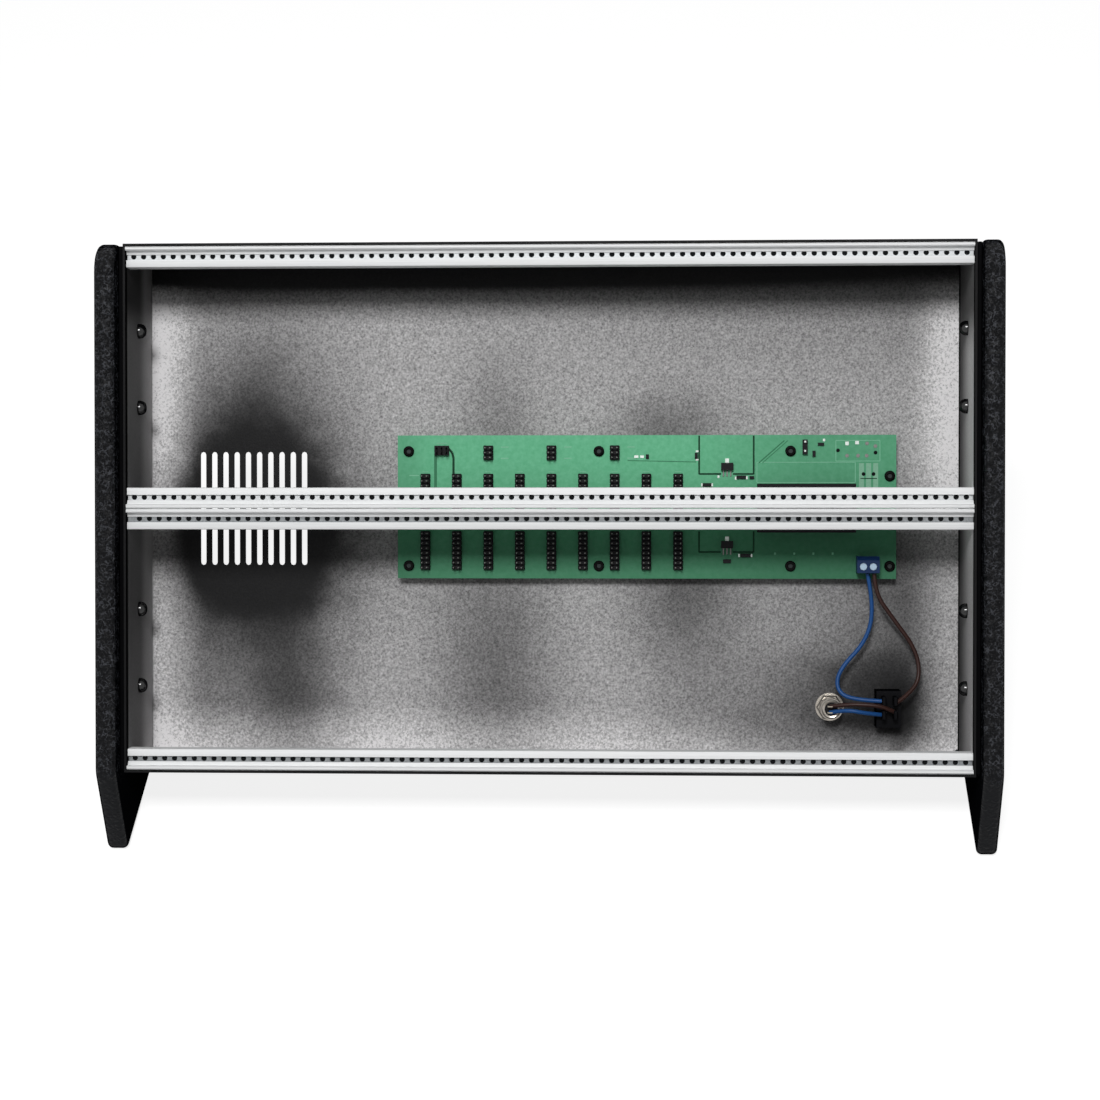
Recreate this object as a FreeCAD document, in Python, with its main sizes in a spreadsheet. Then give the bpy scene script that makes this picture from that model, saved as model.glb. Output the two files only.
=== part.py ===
import FreeCAD, Part
import os
import re
from math import cos, pi, radians, sin, sqrt, tan

import Sketcher

# Desktop module case: two rows of 84 HP between folded steel walls and two flat side cheeks.
#
# Cage frame, in which every sub-part is drawn: X to the right, Y into the case, Z up along the
# front, origin in the middle of the plane on which the module panels are screwed.
# Row frame, in which every sub-part is written: the cage leans back by the recline angle, so
# that the cheeks stand on their base edges. Origin at the centre of the bottom of the box
# around the whole case, +Z up, front towards -Y.

SIZES = [
    # module grid
    ("hp_pitch", 5.08, "width of one panel unit"),
    ("hp_count", 84, "panel units in a row"),
    ("row_pitch", 133.35, "height of one row"),
    ("screw_row_offset", 61.25, "panel screw row from the middle of its row"),
    ("recline", 33, "lean of the front from upright, degrees"),
    # sheet metal
    ("sheet", 1.2, "wall of the folded sheets"),
    ("bay_depth", 58.7, "panel plane to back wall"),
    ("sheet_front", 2.9, "sheet edges in front of the panel plane"),
    ("bend_radius", 2.0, "outside radius of the folds"),
    ("flange_width", 8.0, "folded flanges of the side plates"),
    ("flange_gap", 1.5, "flange ends from the rails and the back wall"),
    ("corner_slit", 0.8, "slit between back wall and right side plate"),
    ("slit_relief_radius", 1.6, "relief holes at the ends of the slit"),
    ("slit_end", 5.0, "relief holes from the top and bottom walls"),
    # vents
    ("vent_count", 10, "slots in the vent field"),
    ("vent_pitch", 6.03, "slot to slot"),
    ("vent_width", 3.0, "slot width"),
    ("vent_height", 60.4, "slot height over the round ends"),
    ("vent_first", -186.6, "middle of the first slot"),
    # rails
    ("rail_play", 0.95, "rail longer than the module width, each end"),
    ("rail_seam", 0.15, "rail from the wall or rail beside it"),
    ("rail_inner", 5.5, "screw row to the bay side of the rail"),
    ("rail_depth", 9.5, "rail behind the panel plane"),
    ("lip_height", 2.7, "lip in front of the panel plane"),
    ("lip_width", 2.1, "thickness of the lip"),
    ("lip_groove", 0.5, "square groove at the foot of the lip"),
    ("slot_mouth", 2.8, "mouth of the strip slot"),
    ("slot_lead", 0.15, "middle of the slot from the screw row, towards the bay"),
    ("slot_front", 1.3, "front wall of the strip slot"),
    ("slot_width", 6.4, "strip slot inside"),
    ("slot_depth", 2.3, "strip slot from front wall to floor"),
    ("port_radius", 1.6, "screw port in the rail end"),
    ("port_depth", 6.1, "screw port behind the panel plane"),
    ("rail_back_groove", 3.0, "width of the groove in the back of the rail"),
    ("rail_back_cut", 1.0, "depth of the groove in the back of the rail"),
    # threaded strips
    ("strip_play", 0.15, "strip in its slot, each side"),
    ("strip_thick", 2.0, "thickness of the strip"),
    ("strip_hole", 1.25, "corner radius of the tapped holes"),
    # cheeks
    ("cheek_thick", 10.5, "thickness of a cheek plate"),
    ("pad_thick", 2.6, "seat pad on the inside of a cheek"),
    ("pad_inset", 1.2, "edge of the pad from the edge of the case"),
    ("cheek_front", 12.0, "cheek in front of the panel plane"),
    ("cheek_top", 0.15, "cheek above the case"),
    ("cheek_rear", 6.0, "top of the cheek behind the back wall"),
    ("foot_height", 51.8, "upright front edge of the foot"),
    ("base_length", 170.0, "base edge of the cheek"),
    ("top_radius", 15.0, "corners at the top of the cheek"),
    ("heel_radius", 15.0, "corner at the back of the base"),
    ("toe_radius", 5.0, "corner at the front of the base"),
    ("knee_radius", 12.0, "bend between foot and front edge"),
    ("edge_bevel", 2.0, "bevel round the cheek's rims"),
    # fasteners
    ("cheek_screw_near", 52.4, "inner cheek screws from the middle"),
    ("cheek_screw_far", 92.3, "outer cheek screws from the middle"),
    ("cheek_screw_depth", 27.0, "cheek screws behind the panel plane"),
    ("dome_radius", 3.75, "head of a cheek screw"),
    ("dome_brim", 2.2, "height of the head's brim"),
    ("dome_crown_radius", 2.7, "crown of the head"),
    ("dome_height", 4.0, "height of the head"),
    ("cheek_shank", 2.0, "shank of a cheek screw"),
    ("cheek_shank_length", 10.0, "its length under the head"),
    ("hole_play", 0.15, "clearance round a shank"),
    ("end_head_radius", 2.75, "head of a rail end screw"),
    ("end_head_height", 1.9, "height of that head"),
    ("end_shank", 1.4, "shank of a rail end screw"),
    ("end_shank_length", 9.0, "its length under the head"),
    ("head_room", 0.5, "recess round and over an end screw head"),
    # bus board
    ("board_left", -81.2, "left edge of the board"),
    ("board_width", 261.4, "board width"),
    ("board_bottom", -36.8, "lower edge of the board"),
    ("board_height", 75.3, "board height"),
    ("board_thick", 1.6, "board thickness"),
    ("standoff_height", 8.0, "stand-offs between back wall and board"),
    ("standoff_radius", 3.2, "corner radius of the hexagonal stand-offs"),
    ("board_column", 100.25, "spacing of the board's screw columns"),
    ("board_last_column", 51.6, "last column from the third"),
    ("board_first_column", -75.3, "first screw column"),
    ("board_screw_row", 30.1, "screw rows from the middle"),
    ("board_corner_row", 17.0, "upper screw of the last column"),
    ("board_head_radius", 2.8, "board screw head"),
    ("board_head_height", 2.2, "height of that head"),
    # plugs on the board
    ("header_pitch", 16.62, "header to header"),
    ("header_count", 9, "headers in a row"),
    ("pin_pitch", 2.54, "pin grid"),
    ("header_pins", 8, "pins along a header"),
    ("header_base", 2.5, "height of a header's body"),
    ("upper_header_top", 18.3, "top of the upper headers"),
    ("lower_header_top", -11.9, "top of the lower headers"),
    ("small_header_row", 29.3, "middle of the small headers"),
    ("small_header_pins", 3, "pins along a small header"),
    ("jumper_column", -57.8, "middle of the jumper header"),
    ("jumper_row", 30.5, "middle of the jumper header"),
    # power parts
    ("brick_left", 107.8, "left side of the converter brick"),
    ("brick_width", 50.8, "brick width"),
    ("brick_top", 12.9, "top side of the brick"),
    ("brick_height", 25.4, "brick height"),
    ("brick_depth", 10.2, "brick above the board"),
    ("regulator_column", 92.1, "middle of the regulators"),
    ("upper_regulator_row", 22.0, "middle of the upper regulator"),
    ("lower_regulator_row", -18.9, "middle of the lower regulator"),
    ("regulator_width", 6.3, "regulator body"),
    ("regulator_height", 3.8, "regulator body"),
    ("regulator_depth", 2.3, "regulator body"),
    ("tab_thick", 0.9, "regulator tab"),
    ("tab_width", 2.0, "regulator tab"),
    ("tab_reach", 2.3, "tab beyond the body"),
    ("led_column", 132.7, "middle of the indicator strip"),
    ("led_row", 32.2, "middle of the indicator strip"),
    ("terminal_column", 165.1, "middle of the screw terminal"),
    ("terminal_bottom", -33.5, "lower side of the screw terminal"),
    ("terminal_width", 11.6, "screw terminal"),
    ("terminal_height", 8.6, "screw terminal"),
    ("terminal_depth", 10.0, "screw terminal above the board"),
    ("terminal_pitch", 5.08, "its two ways"),
    ("terminal_chamfer", 2.0, "slope on its front"),
    ("terminal_screw_radius", 1.9, "its clamp screws"),
    ("terminal_seat", 2.0, "depth of their seats"),
    ("terminal_screw_drop", 0.6, "clamp screws below the front"),
    # power inlet
    ("jack_column", 146.3, "middle of the inlet"),
    ("jack_row", -104.6, "middle of the inlet"),
    ("jack_radius", 5.5, "barrel of the inlet"),
    ("jack_reach", 14.7, "barrel inside the back wall"),
    ("jack_flange_radius", 7.2, "flange outside"),
    ("jack_flange", 2.0, "thickness of that flange"),
    ("jack_bore_radius", 2.8, "bore for the plug"),
    ("jack_bore_depth", 10.0, "depth of that bore"),
    ("jack_pin_radius", 1.05, "centre pin"),
    ("nut_radius", 7.1, "corner radius of the hexagonal nut"),
    ("nut_thick", 3.0, "thickness of the nut"),
    ("lug_width", 2.6, "solder lugs"),
    ("lug_thick", 0.5, "solder lugs"),
    ("lug_reach", 4.5, "solder lugs beyond the barrel"),
    ("lug_spread", 1.6, "lugs from the middle of the inlet"),
    ("jack_lug_lead", 0.8, "lugs from the middle of the inlet, to the left"),
    # switch
    ("switch_column", 176.4, "middle of the switch"),
    ("switch_row", -104.8, "middle of the switch"),
    ("switch_width", 12.8, "switch housing"),
    ("switch_height", 19.2, "switch housing"),
    ("switch_reach", 12.0, "housing inside the back wall"),
    ("bezel_rim", 1.2, "bezel wider than the housing, each side"),
    ("bezel_thick", 2.0, "thickness of the bezel"),
    ("cutout_play", 0.2, "housing in the back wall's cut-out, each side"),
    ("rocker_width", 8.8, "rocker"),
    ("rocker_half", 7.4, "half the height of the rocker"),
    ("rocker_foot", 2.4, "half the foot of the rocker"),
    ("rocker_heel", 3.0, "pivot to the foot of the rocker"),
    ("rocker_skirt", 2.2, "pivot to the ends of the skirt"),
    ("rocker_crown", 5.2, "pivot to the ends of the crown"),
    ("rocker_valley", 3.8, "pivot to the middle of the crown"),
    ("rocker_throw", 20, "travel of the rocker, degrees"),
    ("rocker_play", 0.4, "rocker in the housing, each side"),
    ("rocker_end_room", 1.2, "housing beyond the ends of the rocker"),
    ("well_depth", 9.0, "well in the housing, from the bezel"),
    ("pivot_depth", 4.4, "pivot behind the face of the bezel"),
    ("pivot_radius", 1.0, "axle stubs of the rocker"),
    ("pivot_play", 0.05, "radial clearance of the axle stubs"),
    ("pivot_reach", 1.0, "axle stub in the wall of the housing"),
    ("blade_width", 4.6, "blade terminals"),
    ("blade_thick", 0.8, "blade terminals"),
    ("blade_reach", 7.0, "blade terminals beyond the housing"),
    ("blade_spread", 3.0, "blades from the middle of the switch"),
    ("upper_blade_row", -100.2, "upper pair of blades"),
    ("lower_blade_row", -107.4, "lower pair of blades"),
    # wires
    ("wire_diameter", 2.2, "insulated wires"),
]

# Wire routes, cage frame, from the board or inlet to the switch.
WIRES = {
    "feed_wire_blue": [
        (165.0, 44.6, -33.8), (168.6, 46.6, -51.0), (165.0, 47.4, -69.0), (150.2, 47.0, -84.5),
        (149.2, 45.8, -95.0), (157.2, 43.8, -99.8), (173.4, 41.8, -100.2),
    ],
    "feed_wire_brown": [
        (168.4, 43.4, -33.8), (168.8, 43.6, -44.0), (178.6, 46.2, -57.6), (190.2, 48.4, -73.0),
        (192.8, 47.8, -86.4), (188.4, 45.0, -95.6), (179.4, 41.8, -101.4),
    ],
    "inlet_wire_blue": [
        (145.5, 41.5, -106.2), (154.0, 36.6, -104.2), (163.5, 36.8, -106.2), (173.4, 43.0, -107.4),
    ],
    "inlet_wire_brown": [
        (145.5, 41.5, -103.0), (154.5, 38.8, -101.6), (165.0, 37.6, -101.8), (173.0, 38.0, -102.8),
        (179.4, 41.8, -106.0),
    ],
}

# Chips and passives soldered on the board: middle x, middle z, width, height, depth.
CHIPS = [
    (99.5, 16.4, 5.0, 1.8, 1.2), (105.0, 16.2, 2.4, 1.6, 1.0), (81.6, 12.4, 4.6, 1.8, 1.1),
    (76.0, 27.6, 1.6, 3.2, 0.9), (50.4, 27.2, 1.6, 2.4, 0.9), (101.8, -24.6, 5.4, 1.8, 1.2),
    (92.1, -27.6, 4.0, 2.0, 1.1), (141.0, 33.6, 3.2, 1.6, 1.0), (137.4, 28.6, 1.6, 3.2, 1.0),
]

doc = FreeCAD.newDocument("module_case")
sizes = doc.addObject("Spreadsheet::Sheet", "sizes")
for line, (alias, value, meaning) in enumerate(SIZES, 1):
    sizes.set("A%d" % line, meaning)
    sizes.set("B%d" % line, str(value))
    sizes.setAlias("B%d" % line, alias)
doc.recompute()

ALIASES = {alias for alias, _, _ in SIZES}

# Lengths worked out once from the sheet.
SCREW_ROW = "(row_pitch - (row_pitch/2 - screw_row_offset))"
NEAR_ROW = "(row_pitch/2 - screw_row_offset)"
INSIDE = "(hp_count*hp_pitch/2 + rail_play)"
SIDE_FACE = "(%s + sheet)" % INSIDE
PAD_FACE = "(%s + pad_thick)" % SIDE_FACE
CASE_TOP = "(row_pitch + sheet)"
BACK_FACE = "(bay_depth + sheet)"
BOARD_FACE = "(bay_depth - standoff_height - board_thick)"
RAIL_OUTER = "(row_pitch/2 - screw_row_offset - rail_seam)"
PIVOT = "(%s + bezel_thick - pivot_depth)" % BACK_FACE

FEW = 4  # sides of a tapped strip hole, and of half a vent's round end
SOME = 6  # sides of a shank or a wire
ROUND = 8  # sides of a screw head or a hole for one
CLOSE = 0.01  # an edge nearer than this to the asked place is the one meant, mm

parts = {}  # node name to the document object that is its sub-part


def expr(text):
    """The text with each size name written as a reference into the sheet."""
    return re.sub(r"[a-z_]+", lambda m: "sizes." + m[0] if m[0] in ALIASES else m[0], str(text))


def num(text):
    """The present value of an expression of sizes."""
    return float(sizes.evalExpression(expr(text)))


def bind(target, **texts):
    """Bind properties of an object to expressions of sizes."""
    for prop, text in texts.items():
        target.setExpression(prop, expr(text))


def place(target, x="0", y="0", z="0"):
    """Bind the position of an object inside its sub-part."""
    for axis, text in zip("xyz", (x, y, z)):
        target.setExpression("Placement.Base." + axis, expr(text))


def keep(name, target):
    """Register an object as the sub-part of that name."""
    target.Label = name
    parts[name] = target
    return target


# Part workbench solids

def block(name, x, y, z):
    """A box between two expressions along each axis."""
    solid = doc.addObject("Part::Box", name)
    bind(solid, Length="%s - (%s)" % (x[1], x[0]), Width="%s - (%s)" % (y[1], y[0]),
         Height="%s - (%s)" % (z[1], z[0]))
    place(solid, x[0], y[0], z[0])
    return solid


TURNS = {
    "X": FreeCAD.Rotation(FreeCAD.Vector(0, 1, 0), 90),
    "-X": FreeCAD.Rotation(FreeCAD.Vector(0, 1, 0), -90),
    "Y": FreeCAD.Rotation(FreeCAD.Vector(1, 0, 0), -90),
    "-Y": FreeCAD.Rotation(FreeCAD.Vector(1, 0, 0), 90),
}


def rod(name, way, start, radius, length):
    """A cylinder that starts at a point and runs along X, -X, Y or -Y."""
    solid = doc.addObject("Part::Cylinder", name)
    solid.Placement.Rotation = TURNS[way]
    bind(solid, Radius=radius, Height=length)
    place(solid, *start)
    return solid


def bar(name, way, start, corner_radius, length, sides=SOME):
    """A bar of regular section that starts at a point and runs along an axis."""
    solid = doc.addObject("Part::Prism", name)
    solid.Polygon = sides
    solid.Placement.Rotation = TURNS[way]
    bind(solid, Circumradius=corner_radius, Height=length)
    place(solid, *start)
    return solid


def fused(name, members):
    """Several solids joined into one."""
    solid = doc.addObject("Part::MultiFuse", name)
    solid.Shapes = members
    solid.Refine = True
    return solid


def cut(name, base, tool):
    """A solid less another."""
    solid = doc.addObject("Part::Cut", name)
    solid.Base, solid.Tool, solid.Refine = base, tool, True
    return solid


def group(name, members):
    """Separate solids that are one node."""
    solid = doc.addObject("Part::Compound", name)
    solid.Links = members
    return solid


# PartDesign bodies

def new_body(name):
    """An empty body, registered as a sub-part."""
    return keep(name, doc.addObject("PartDesign::Body", name))


def new_sketch(body, name, plane, start, rings=(), circles=()):
    """A sketch on an origin plane, moved along +X, +Y or +Z, with rings of points and circles."""
    sketch = body.newObject("Sketcher::SketchObject", name)
    support = next(f for f in body.Origin.OriginFeatures if f.Role == plane + "_Plane")
    sketch.AttachmentSupport = (support, [""])
    sketch.MapMode = "FlatFace"
    away = "-(%s)" % start if plane == "XZ" else start
    sketch.setExpression("AttachmentOffset.Base.z", expr(away))

    def dimension(kind, geometry, point, text):
        constraint = Sketcher.Constraint(kind, -1, 1, geometry, point, num(text))
        sketch.setExpression("Constraints[%d]" % sketch.addConstraint(constraint), expr(text))

    for ring in rings:
        corners = [FreeCAD.Vector(num(u), num(v), 0) for u, v in ring]
        first = sketch.GeometryCount
        for here, there in zip(corners, corners[1:] + corners[:1]):
            sketch.addGeometry(Part.LineSegment(here, there))
        for side in range(len(ring)):
            after = first + (side + 1) % len(ring)
            sketch.addConstraint(Sketcher.Constraint("Coincident", first + side, 2, after, 1))
        for side, (u, v) in enumerate(ring):
            dimension("DistanceX", first + side, 1, u)
            dimension("DistanceY", first + side, 1, v)
    for u, v, radius in circles:
        middle = FreeCAD.Vector(num(u), num(v), 0)
        circle = sketch.addGeometry(Part.Circle(middle, FreeCAD.Vector(0, 0, 1), num(radius)))
        size = sketch.addConstraint(Sketcher.Constraint("Radius", circle, num(radius)))
        sketch.setExpression("Constraints[%d]" % size, expr(radius))
        dimension("DistanceX", circle, 3, u)
        dimension("DistanceY", circle, 3, v)
    return sketch


def polygon(u, v, radius, sides):
    """The ring of a regular polygon about a point; small holes that repeat are polygons."""
    turns = [radians(360 * side / sides) for side in range(sides)]
    return [("%s + (%s)*%.6f" % (u, radius, cos(turn)), "%s + (%s)*%.6f" % (v, radius, sin(turn)))
            for turn in turns]


def rectangle(u, v):
    """The ring of a rectangle between two expressions along each sketch axis."""
    return [(u[0], v[0]), (u[1], v[0]), (u[1], v[1]), (u[0], v[1])]


def pad(body, name, plane, start, length, rings=(), circles=()):
    """Material added from start along the positive axis normal to the plane."""
    feature = body.newObject("PartDesign::Pad", name)
    feature.Profile = new_sketch(body, name + "_sketch", plane, start, rings, circles)
    feature.Reversed = plane == "XZ"
    bind(feature, Length=length)
    doc.recompute()
    return feature


def pocket(body, name, plane, start, length, rings=(), circles=()):
    """Material removed from start along the positive axis; raises if nothing is removed."""
    before = body.Shape.Volume
    feature = body.newObject("PartDesign::Pocket", name)
    feature.Profile = new_sketch(body, name + "_sketch", plane, start, rings, circles)
    feature.Reversed = plane != "XZ"
    bind(feature, Length=length)
    doc.recompute()
    if body.Shape.Volume > before - 1e-3:
        raise RuntimeError("%s removes nothing" % name)
    return feature


def repeat(body, name, feature, direction, span, count):
    """Copies of a feature over a span along an axis of its sketch."""
    pattern = body.newObject("PartDesign::LinearPattern", name)
    pattern.Originals = [feature]
    pattern.Direction = (feature.Profile[0], [direction])
    bind(pattern, Length=span, Occurrences=count)
    body.Tip = pattern
    doc.recompute()
    return pattern


def dress_edges(body, kind, name, wanted, **size):
    """A fillet or chamfer on the edges of the body that the test accepts."""
    base = body.Tip
    names = ["Edge%d" % n for n, edge in enumerate(base.Shape.Edges, 1) if wanted(edge)]
    feature = body.newObject("PartDesign::" + kind, name)
    feature.Base = (base, names)
    bind(feature, **size)
    doc.recompute()


def round_edges(body, name, radius, wanted):
    """A fillet on the edges that the test accepts."""
    dress_edges(body, "Fillet", name, wanted, Radius=radius)


def bevel_edges(body, name, width, wanted):
    """A chamfer on the edges that the test accepts."""
    dress_edges(body, "Chamfer", name, wanted, Size=width)


def along_x_at(y, z):
    """A test for straight edges along X that pass a point of the YZ plane."""
    def wanted(edge):
        box = edge.BoundBox
        near = abs(box.YMin - y) + abs(box.YMax - y) + abs(box.ZMin - z) + abs(box.ZMax - z)
        return box.XLength > 1 and near < CLOSE
    return wanted


def side_names(stem):
    """A name and a direction of X for the left and the right side."""
    return ((stem + "_left", -1), (stem + "_right", 1))


# Folded sheets

def make_case_wrap():
    """Top, back and bottom folded from one sheet, with vents and the two cut-outs."""
    body = new_body("case_wrap")
    outer = rectangle(("-sheet_front", BACK_FACE), ("-" + CASE_TOP, CASE_TOP))
    pad(body, "wrap_block", "YZ", "-" + SIDE_FACE, "2*" + SIDE_FACE, [outer])
    for end in (1, -1):
        corner = along_x_at(num(BACK_FACE), end * num(CASE_TOP))
        round_edges(body, "wrap_fold_%s" % ("top" if end > 0 else "bottom"), "bend_radius", corner)
    inner = rectangle(("-sheet_front - 1", "bay_depth"), ("-row_pitch", "row_pitch"))
    pocket(body, "wrap_inside", "YZ", "-%s - 1" % SIDE_FACE, "2*%s + 2" % SIDE_FACE, [inner])
    inner_radius = "bend_radius - sheet"
    for end in (1, -1):
        corner = along_x_at(num("bay_depth"), end * num("row_pitch"))
        round_edges(body, "wrap_inner_%s" % ("top" if end > 0 else "bottom"), inner_radius, corner)
    around = polygon("vent_first", "0", "vent_width/2", 2 * FEW)
    straight = "(vent_height/2 - vent_width/2)"
    upper = [(x, "%s + %s" % (straight, z)) for x, z in around[:FEW + 1]]
    lower = [(x, "%s - %s" % (z, straight)) for x, z in around[FEW:] + around[:1]]
    slot = pocket(body, "vent_slot", "XZ", "bay_depth - 1", "sheet + 2", [upper + lower])
    repeat(body, "vent_slots", slot, "H_Axis", "vent_pitch*(vent_count - 1)", "vent_count")
    jack = [("jack_column", "jack_row", "jack_radius + hole_play")]
    pocket(body, "inlet_hole", "XZ", "bay_depth - 1", "sheet + 2", circles=jack)
    half_width = "(switch_width/2 + cutout_play)"
    half_height = "(switch_height/2 + cutout_play)"
    cutout = rectangle(("switch_column - " + half_width, "switch_column + " + half_width),
                       ("switch_row - " + half_height, "switch_row + " + half_height))
    pocket(body, "switch_cutout", "XZ", "bay_depth - 1", "sheet + 2", [cutout])
    slit_half = "(row_pitch - slit_end)"
    slit = rectangle((INSIDE + " - corner_slit", SIDE_FACE + " + 1"),
                     ("-" + slit_half, slit_half))
    pocket(body, "corner_slit_cut", "XZ", "bay_depth - 1", "sheet + 2", [slit])
    reliefs = [(INSIDE + " - corner_slit", sign + slit_half, "slit_relief_radius")
               for sign in ("", "-")]
    pocket(body, "slit_reliefs", "XZ", "bay_depth - 1", "sheet + 2", circles=reliefs)


def make_side_plates():
    """Left and right walls with flanges folded under the top and over the bottom wall.

    The right one passes through the corner slit and folds over the back wall from outside."""
    for name, way in side_names("side_plate"):
        body = new_body(name)
        wall = "-" + SIDE_FACE if way < 0 else INSIDE
        ring = rectangle(("-sheet_front", "bay_depth - bend_radius + sheet"),
                         ("-row_pitch", "row_pitch"))
        pad(body, name + "_wall", "YZ", wall, "sheet", [ring])
        flange = "-" + INSIDE if way < 0 else INSIDE + " - flange_width"
        depth = ("rail_depth + flange_gap", "bay_depth - flange_gap")
        for end, heights in (("top", ("row_pitch - sheet", "row_pitch")),
                             ("bottom", ("-row_pitch", "sheet - row_pitch"))):
            pad(body, "%s_%s_flange" % (name, end), "YZ", flange, "flange_width",
                [rectangle(depth, heights)])
        for end in (1, -1):
            corner = along_edges_at(side_x=way * num(INSIDE), z=end * num("row_pitch - sheet"))
            round_edges(body, "%s_fold_%s" % (name, "top" if end > 0 else "bottom"),
                        "bend_radius - sheet", corner)
        rows = [s + r for s in ("", "-") for r in ("cheek_screw_near", "cheek_screw_far")]
        holes = [polygon("cheek_screw_depth", row, "cheek_shank + hole_play", ROUND)
                 for row in rows]
        holes += [polygon("port_depth", row, "end_shank + hole_play", ROUND)
                  for row in rail_port_rows()]
        pocket(body, name + "_holes", "YZ", wall + " - 1", "sheet + 2", holes)
    tongue = "(row_pitch - slit_end)"
    pad(body, "rear_tongue", "YZ", INSIDE, "sheet",
        [rectangle(("bay_depth - bend_radius", BACK_FACE + " + sheet"),
                   ("-" + tongue, tongue))])
    pad(body, "rear_flange", "XZ", BACK_FACE, "sheet",
        [rectangle((INSIDE + " - flange_width", SIDE_FACE), ("-" + tongue, tongue))])


def along_edges_at(side_x, z):
    """A test for the concave edge along Y where a flange meets its wall."""
    def wanted(edge):
        box = edge.BoundBox
        near = abs(box.XMin - side_x) + abs(box.XMax - side_x)
        near += abs(box.ZMin - z) + abs(box.ZMax - z)
        return box.YLength > 1 and near < CLOSE
    return wanted


# Rails and strips

RAILS = {  # name: middle of its screw row, direction from the screw row to the lip
    "rail_upper_top": (SCREW_ROW, "1"),
    "rail_upper_bottom": (NEAR_ROW, "-1"),
    "rail_lower_top": ("-" + NEAR_ROW, "1"),
    "rail_lower_bottom": ("-" + SCREW_ROW, "-1"),
}


def rail_port_rows():
    """Heights of the screw ports, one for each rail."""
    return ["%s - %s*slot_lead" % (row, way) for row, way in RAILS.values()]


def make_rails():
    """Extruded aluminium rails: lip, strip slot, screw port and back groove."""
    for name, (row, way) in RAILS.items():
        def section(depths, heights):
            """A rectangle given in heights above the screw row, towards the lip."""
            low, high = ("%s + %s*(%s)" % (row, way, text) for text in heights)
            return [rectangle(depths, (low, high) if way == "1" else (high, low))]

        body = new_body(name)
        start, span = "-" + INSIDE, "2*" + INSIDE
        pad(body, name + "_bar", "YZ", start, span,
            section(("0", "rail_depth"), ("-rail_inner", RAIL_OUTER)))
        pad(body, name + "_lip", "YZ", start, span,
            section(("-lip_height", "1"), (RAIL_OUTER + " - lip_width", RAIL_OUTER)))
        long = ("%s - 1" % start, "%s + 2" % span)
        foot = RAIL_OUTER + " - lip_width"
        pocket(body, name + "_lip_groove", "YZ", *long,
               section(("-0.5", "lip_groove"), (foot + " - lip_groove", foot)))
        pocket(body, name + "_mouth", "YZ", *long,
               section(("-1", "slot_front + 1"),
                       ("-slot_lead - slot_mouth/2", "slot_mouth/2 - slot_lead")))
        pocket(body, name + "_slot", "YZ", *long,
               section(("slot_front", "slot_front + slot_depth"),
                       ("-slot_width/2", "slot_width/2")))
        pocket(body, name + "_back_groove", "YZ", *long,
               section(("rail_depth - rail_back_cut", "rail_depth + 1"),
                       ("-slot_lead - rail_back_groove/2", "rail_back_groove/2 - slot_lead")))
        port = polygon("port_depth", "%s - %s*slot_lead" % (row, way), "port_radius", ROUND)
        pocket(body, name + "_port", "YZ", *long, [port])


def make_strips():
    """Threaded strips in the rails, one tapped hole for each panel unit."""
    for rail, (row, _) in RAILS.items():
        name = rail.replace("rail", "strip")
        body = new_body(name)
        half = "(%s - strip_play)" % INSIDE
        heights = ("%s - slot_width/2 + strip_play" % row, "%s + slot_width/2 - strip_play" % row)
        front = "(slot_front + slot_depth - strip_thick)"
        pad(body, name + "_bar", "XZ", front, "strip_thick",
            [rectangle(("-" + half, half), heights)])
        through = (front + " - 1", "strip_thick + 2")
        last = "(hp_pitch*(hp_count - 1)/2)"
        pocket(body, name + "_end_holes", "XZ", *through,
               circles=[("-" + last, row, "strip_hole"), (last, row, "strip_hole")])
        hole = pocket(body, name + "_hole", "XZ", *through,
                      [polygon("hp_pitch - " + last, row, "strip_hole", FEW)])
        repeat(body, name + "_holes", hole, "H_Axis", "hp_pitch*(hp_count - 3)", "hp_count - 2")


# Cheeks

def cheek_corners():
    """The five corners of a cheek in the YZ plane: toe, knee, top front, top rear and heel."""
    lean = "(recline*1deg)"
    knee = ("-cheek_front", "-%s" % CASE_TOP)
    toe = ("%s + foot_height*sin%s" % (knee[0], lean), "%s - foot_height*cos%s" % (knee[1], lean))
    top = "%s + cheek_top" % CASE_TOP
    heel = ("%s + base_length*cos%s" % (toe[0], lean), "%s + base_length*sin%s" % (toe[1], lean))
    return [toe, knee, (knee[0], top), ("%s + cheek_rear" % BACK_FACE, top), heel]


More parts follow.
